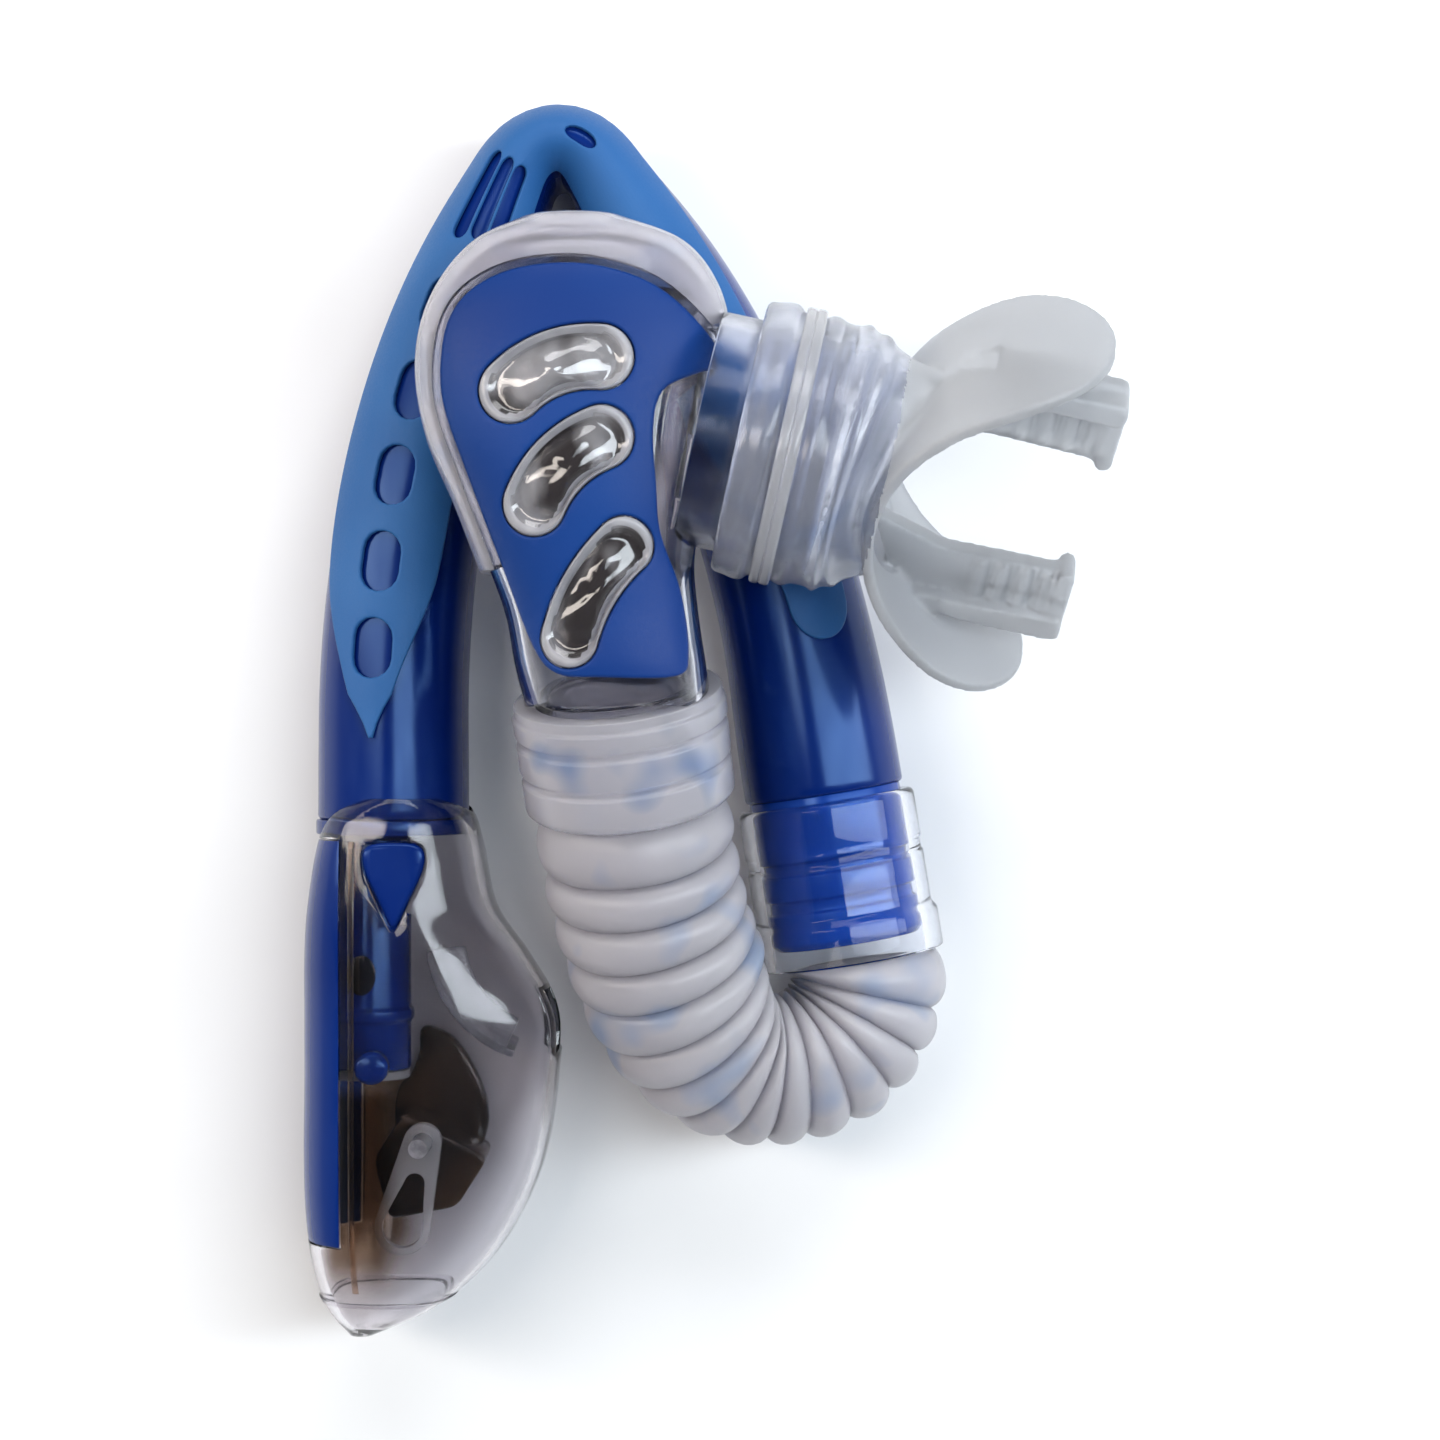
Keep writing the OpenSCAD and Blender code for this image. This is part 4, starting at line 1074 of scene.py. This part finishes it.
def make_cover():
    obj = cover_shell("dry_top_cover_looks", 0, COVER)
    sleeve = axes_matrix([PATH_START[0], -9, LIE_Z], [0, -1, 0])
    cut(obj, cylinder_cutter(BARREL_R + 0.3, 0, 9.6, sleeve))
    cut(obj, prism_cutter(spade_outline(0.3), 20, 40))
    cut(obj, box_cutter((-90, SHIELD_Y[0], -5), (SHIELD_X, SHIELD_Y[1], 60)))
    cut(obj, box_cutter((-34, -53, 10.5), (-14, -43, 22.5)))
    soften(obj, 0.35, 2, 40)
    settle(obj, "upper_barrel", "clear_plastic", "dry_top_cover")


def make_painted_reflection_rib():
    """A painted reflection: a low clear rib down the cover, tinted warm to stand in for a warm highlight
    along its left edge.
    """
    y = np.linspace(REFLECTION_RIB_Y[0], REFLECTION_RIB_Y[1], 60)
    x = REFLECTION_RIB_X + 0.9 * clamp01((-80 - y) / 14) ** 2
    rows = []
    for side, lift in ((-0.5, -0.5), (-0.5, 0.12), (-0.25, 0.3), (0.25, 0.3), (0.5, 0.12), (0.5, -0.5)):
        rows.append(columns(x + side, y, cover_height(x + side, y) + lift))
    rings = np.stack(rows, 1)
    settle(solid("painted_reflection_rib", rings, WARM_PAINTED_REFLECTION, 60), "upper_barrel", "clear_plastic")


def make_cover_seam():
    """The raised seam round the cover's closed end."""
    outer, inner = (cover_rings(off, 9.72, 4, 72, 9.6) for off in (0.28, -0.6))
    settle(shell("cover_seam", outer, inner, COVER, 0.1), "upper_barrel", "clear_plastic")


def make_carrier_shield():
    obj = cover_shell("carrier_shield_looks", -0.05, NAVY)
    cut(obj, box_cutter((SHIELD_X - 0.3, -120, -5), (0, 20, 60)))
    cut(obj, box_cutter((-90, SHIELD_Y[1] - 0.3, -5), (0, 20, 60)))
    cut(obj, box_cutter((-90, -130, -5), (0, SHIELD_Y[0] + 0.3, 60)))
    soften(obj, 0.3, 2, 40)
    settle(obj, "upper_barrel", "barrel_navy", "carrier_shield")


def make_carrier():
    axes = axes_matrix([PATH_START[0], CARRIER_TOP, LIE_Z], [0, -1, 0])
    bore = CARRIER_R - 1.6
    flange = rounded([(bore + 1.5, 0), (BARREL_R, 0), (BARREL_R, 2.4), (bore + 1.5, 2.4)], 0.4)
    tube_axes = axes_matrix([CARRIER_X, CARRIER_TOP, LIE_Z], [0, -1, 0])
    tube = [(bore, 0.1), (CARRIER_R, 0.1), (CARRIER_R, 30), (CARRIER_R + 0.5, 30.6), (CARRIER_R + 0.5, 32),
            (CARRIER_R, 32.6), (CARRIER_R, CARRIER_LEN), (bore + 0.9, CARRIER_LEN), (bore, CARRIER_LEN - 0.8)]
    parts = [lathe("flange", flange, axes, NAVY), lathe("tube", rounded(tube, 0.25), tube_axes, NAVY)]
    obj = join(parts, "valve_carrier_looks")
    smooth(obj, 35)
    settle(obj, "upper_barrel", "barrel_navy", "valve_carrier")


def flat_piece(name, outlines, low, thickness, bevel, mat):
    return plate(name, outlines, thickness, bevel, mat, 3.0, lambda x, y, h: columns(x, y, low + h))


def louvre_arc(inner_r, outer_r, first, last, corner):
    """Outline of an arc of the louvre between two angles in degrees."""
    a = np.radians(np.linspace(first, last, 24))
    ray = columns(np.cos(a), np.sin(a))
    band = np.vstack([LOUVRE_AT + ray * outer_r, (LOUVRE_AT + ray * inner_r)[::-1]])
    return rounded(band, corner)


def make_dry_top_parts():
    button = flat_piece("spade_button_looks", [spade_outline()], 27.2, 4.3, 0.7, NAVY)
    settle(button, "release_button", "barrel_navy", "spade_button")
    head = [(0.05, 24.4), (1.6, 24.4), (1.6, 26.2), (2.6, 26.2), (2.6, 29), (2.1, 29.55), (1, 29.75),
            (0.05, 29.8)]
    axes = axes_matrix([*STUD_AT, 0], [0, 0, 1], (1, 0, 0))
    stud = lathe("round_stud_looks", rounded(head, 0.2), axes, NAVY)
    settle(stud, "upper_barrel", "barrel_navy", "round_stud")
    block = [(-50.6, -62.8), (-37, -69.8), (-42, -77.6), (-52.8, -79.6), (-55.2, -70)]
    block = rounded(block, 1.6, 4)
    obj = flat_piece("float_block_looks", [block, circle(FLOAT_PIN, 1.58)], 6.5, 15, 0.6, SMOKY)
    settle(obj, "float_arm", "smoky_plastic", "float_block")
    blade = [(-49, -50.6), (-44.4, -52.2), (-40.8, -56.8), (-38.4, -62.6), (-38.4, -68.2), (-42, -74),
             (-51.6, -74), (-53.6, -67), (-53.2, -61), (-50.8, -58), (-49.6, -54.6)]
    obj = flat_piece("float_blade", [closed_spline(blade, 4)], 3.4, 3, 0.5, SMOKY)
    settle(obj, "float_arm", "smoky_plastic")
    oval = flat_piece("indicator_oval", [circle((0, 0), 1, 36) * OVAL_SIZE + OVAL_AT], 22.55, 0.5, 0.2, AMBER)
    settle(oval, "upper_barrel", "smoky_plastic")
    flange = louvre_arc(LOUVRE_R - 6.2, LOUVRE_R, 187, 246, 1.6)
    wall = louvre_arc(LOUVRE_R - 1.2, LOUVRE_R, 189, 250, 0.4)
    louvre = join([flat_piece("flange", [flange], 24.8, 1.2, 0.4, LOUVRE),
                   flat_piece("wall", [wall], 7, 18.2, 0.3, LOUVRE)], "inlet_louvre_looks")
    smooth(louvre, 40)
    settle(louvre, "upper_barrel", "clear_plastic", "inlet_louvre")


# ---------------------------------------------------------------- stage
FLOOR_HALF = 1.6


def make_stage():
    mesh = bpy.data.meshes.new("floor")
    corners = [(x * FLOOR_HALF, y * FLOOR_HALF, 0) for x, y in ((-1, -1), (1, -1), (1, 1), (-1, 1))]
    mesh.from_pydata(corners, [], [(0, 1, 2, 3)])
    floor = link("floor", mesh)
    mat, tree, bsdf, coords = new_material("floor_paper", Roughness=0.8)
    colour_between(tree, bsdf, add_noise(tree, coords, 14, 3), (0.86, 0.86, 0.86), (0.9, 0.9, 0.9))
    mesh.materials.append(mat)
    world = bpy.data.worlds.new("studio")
    world.use_nodes = True
    tree = world.node_tree
    coords = tree.nodes.new("ShaderNodeTexCoord")
    parts = tree.nodes.new("ShaderNodeSeparateXYZ")
    tree.links.new(coords.outputs["Generated"], parts.inputs["Vector"])
    glow = add_ramp(tree, parts.outputs["Z"], (0.82, 0.84, 0.88), (0.1, 0.11, 0.13), (0.05, 0.75))
    tree.links.new(glow, tree.nodes["Background"].inputs["Color"])
    tree.nodes["Background"].inputs["Strength"].default_value = 0.8
    bpy.context.scene.world = world
    for name, at, size, power, tint in (
            ("key", (0.4, 0.05, 0.5), (0.16, 0.9), 4.6, (0.86, 0.94, 1)),
            ("fill", (-0.45, 0.1, 0.45), (0.12, 0.8), 2.8, (1, 0.92, 0.84)),
            ("top", (0.05, 0.55, 0.5), (0.7, 0.25), 2.8, (0.97, 0.98, 1))):
        light = bpy.data.lights.new(name, "AREA")
        light.shape = "RECTANGLE"
        light.size, light.size_y = size
        light.energy = power
        light.color = tint
        lamp = link(name, light)
        lamp.location = at
        lamp.rotation_euler = (Vector((0, 0, 0.02)) - Vector(at)).to_track_quat("-Z", "Y").to_euler()


# The camera's height, and how wide the picture is at the barrel's height
CAMERA_UP = 460.0
FRAME_WIDE = 232.3


def make_camera():
    """Straight above the table, square to it, over the design's own origin."""
    cam = bpy.data.cameras.new("camera")
    cam.sensor_width = 36
    cam.lens = cam.sensor_width * (CAMERA_UP - LIE_Z) / FRAME_WIDE
    cam.clip_start = 0.01
    obj = link("camera", cam)
    obj.location = place([0, 0, CAMERA_UP])
    bpy.context.scene.camera = obj


make_stage()
make_camera()
make_barrel()
make_band()
make_spigot()
make_barrel_cuff()
make_hose()
make_body_cuff()
make_chamber()
make_hood()
make_inserts()
for seed, (node, window) in enumerate(WINDOWS.items(), 1):
    make_window(node, window, seed)
make_mouthpiece()
make_cover()
make_painted_reflection_rib()
make_cover_seam()
make_carrier_shield()
make_carrier()
make_dry_top_parts()
for node, mat in PAINTED_NODES.items():
    paint(frame["nodes"][node], mat)
bpy.context.scene.view_settings.view_transform = "Standard"
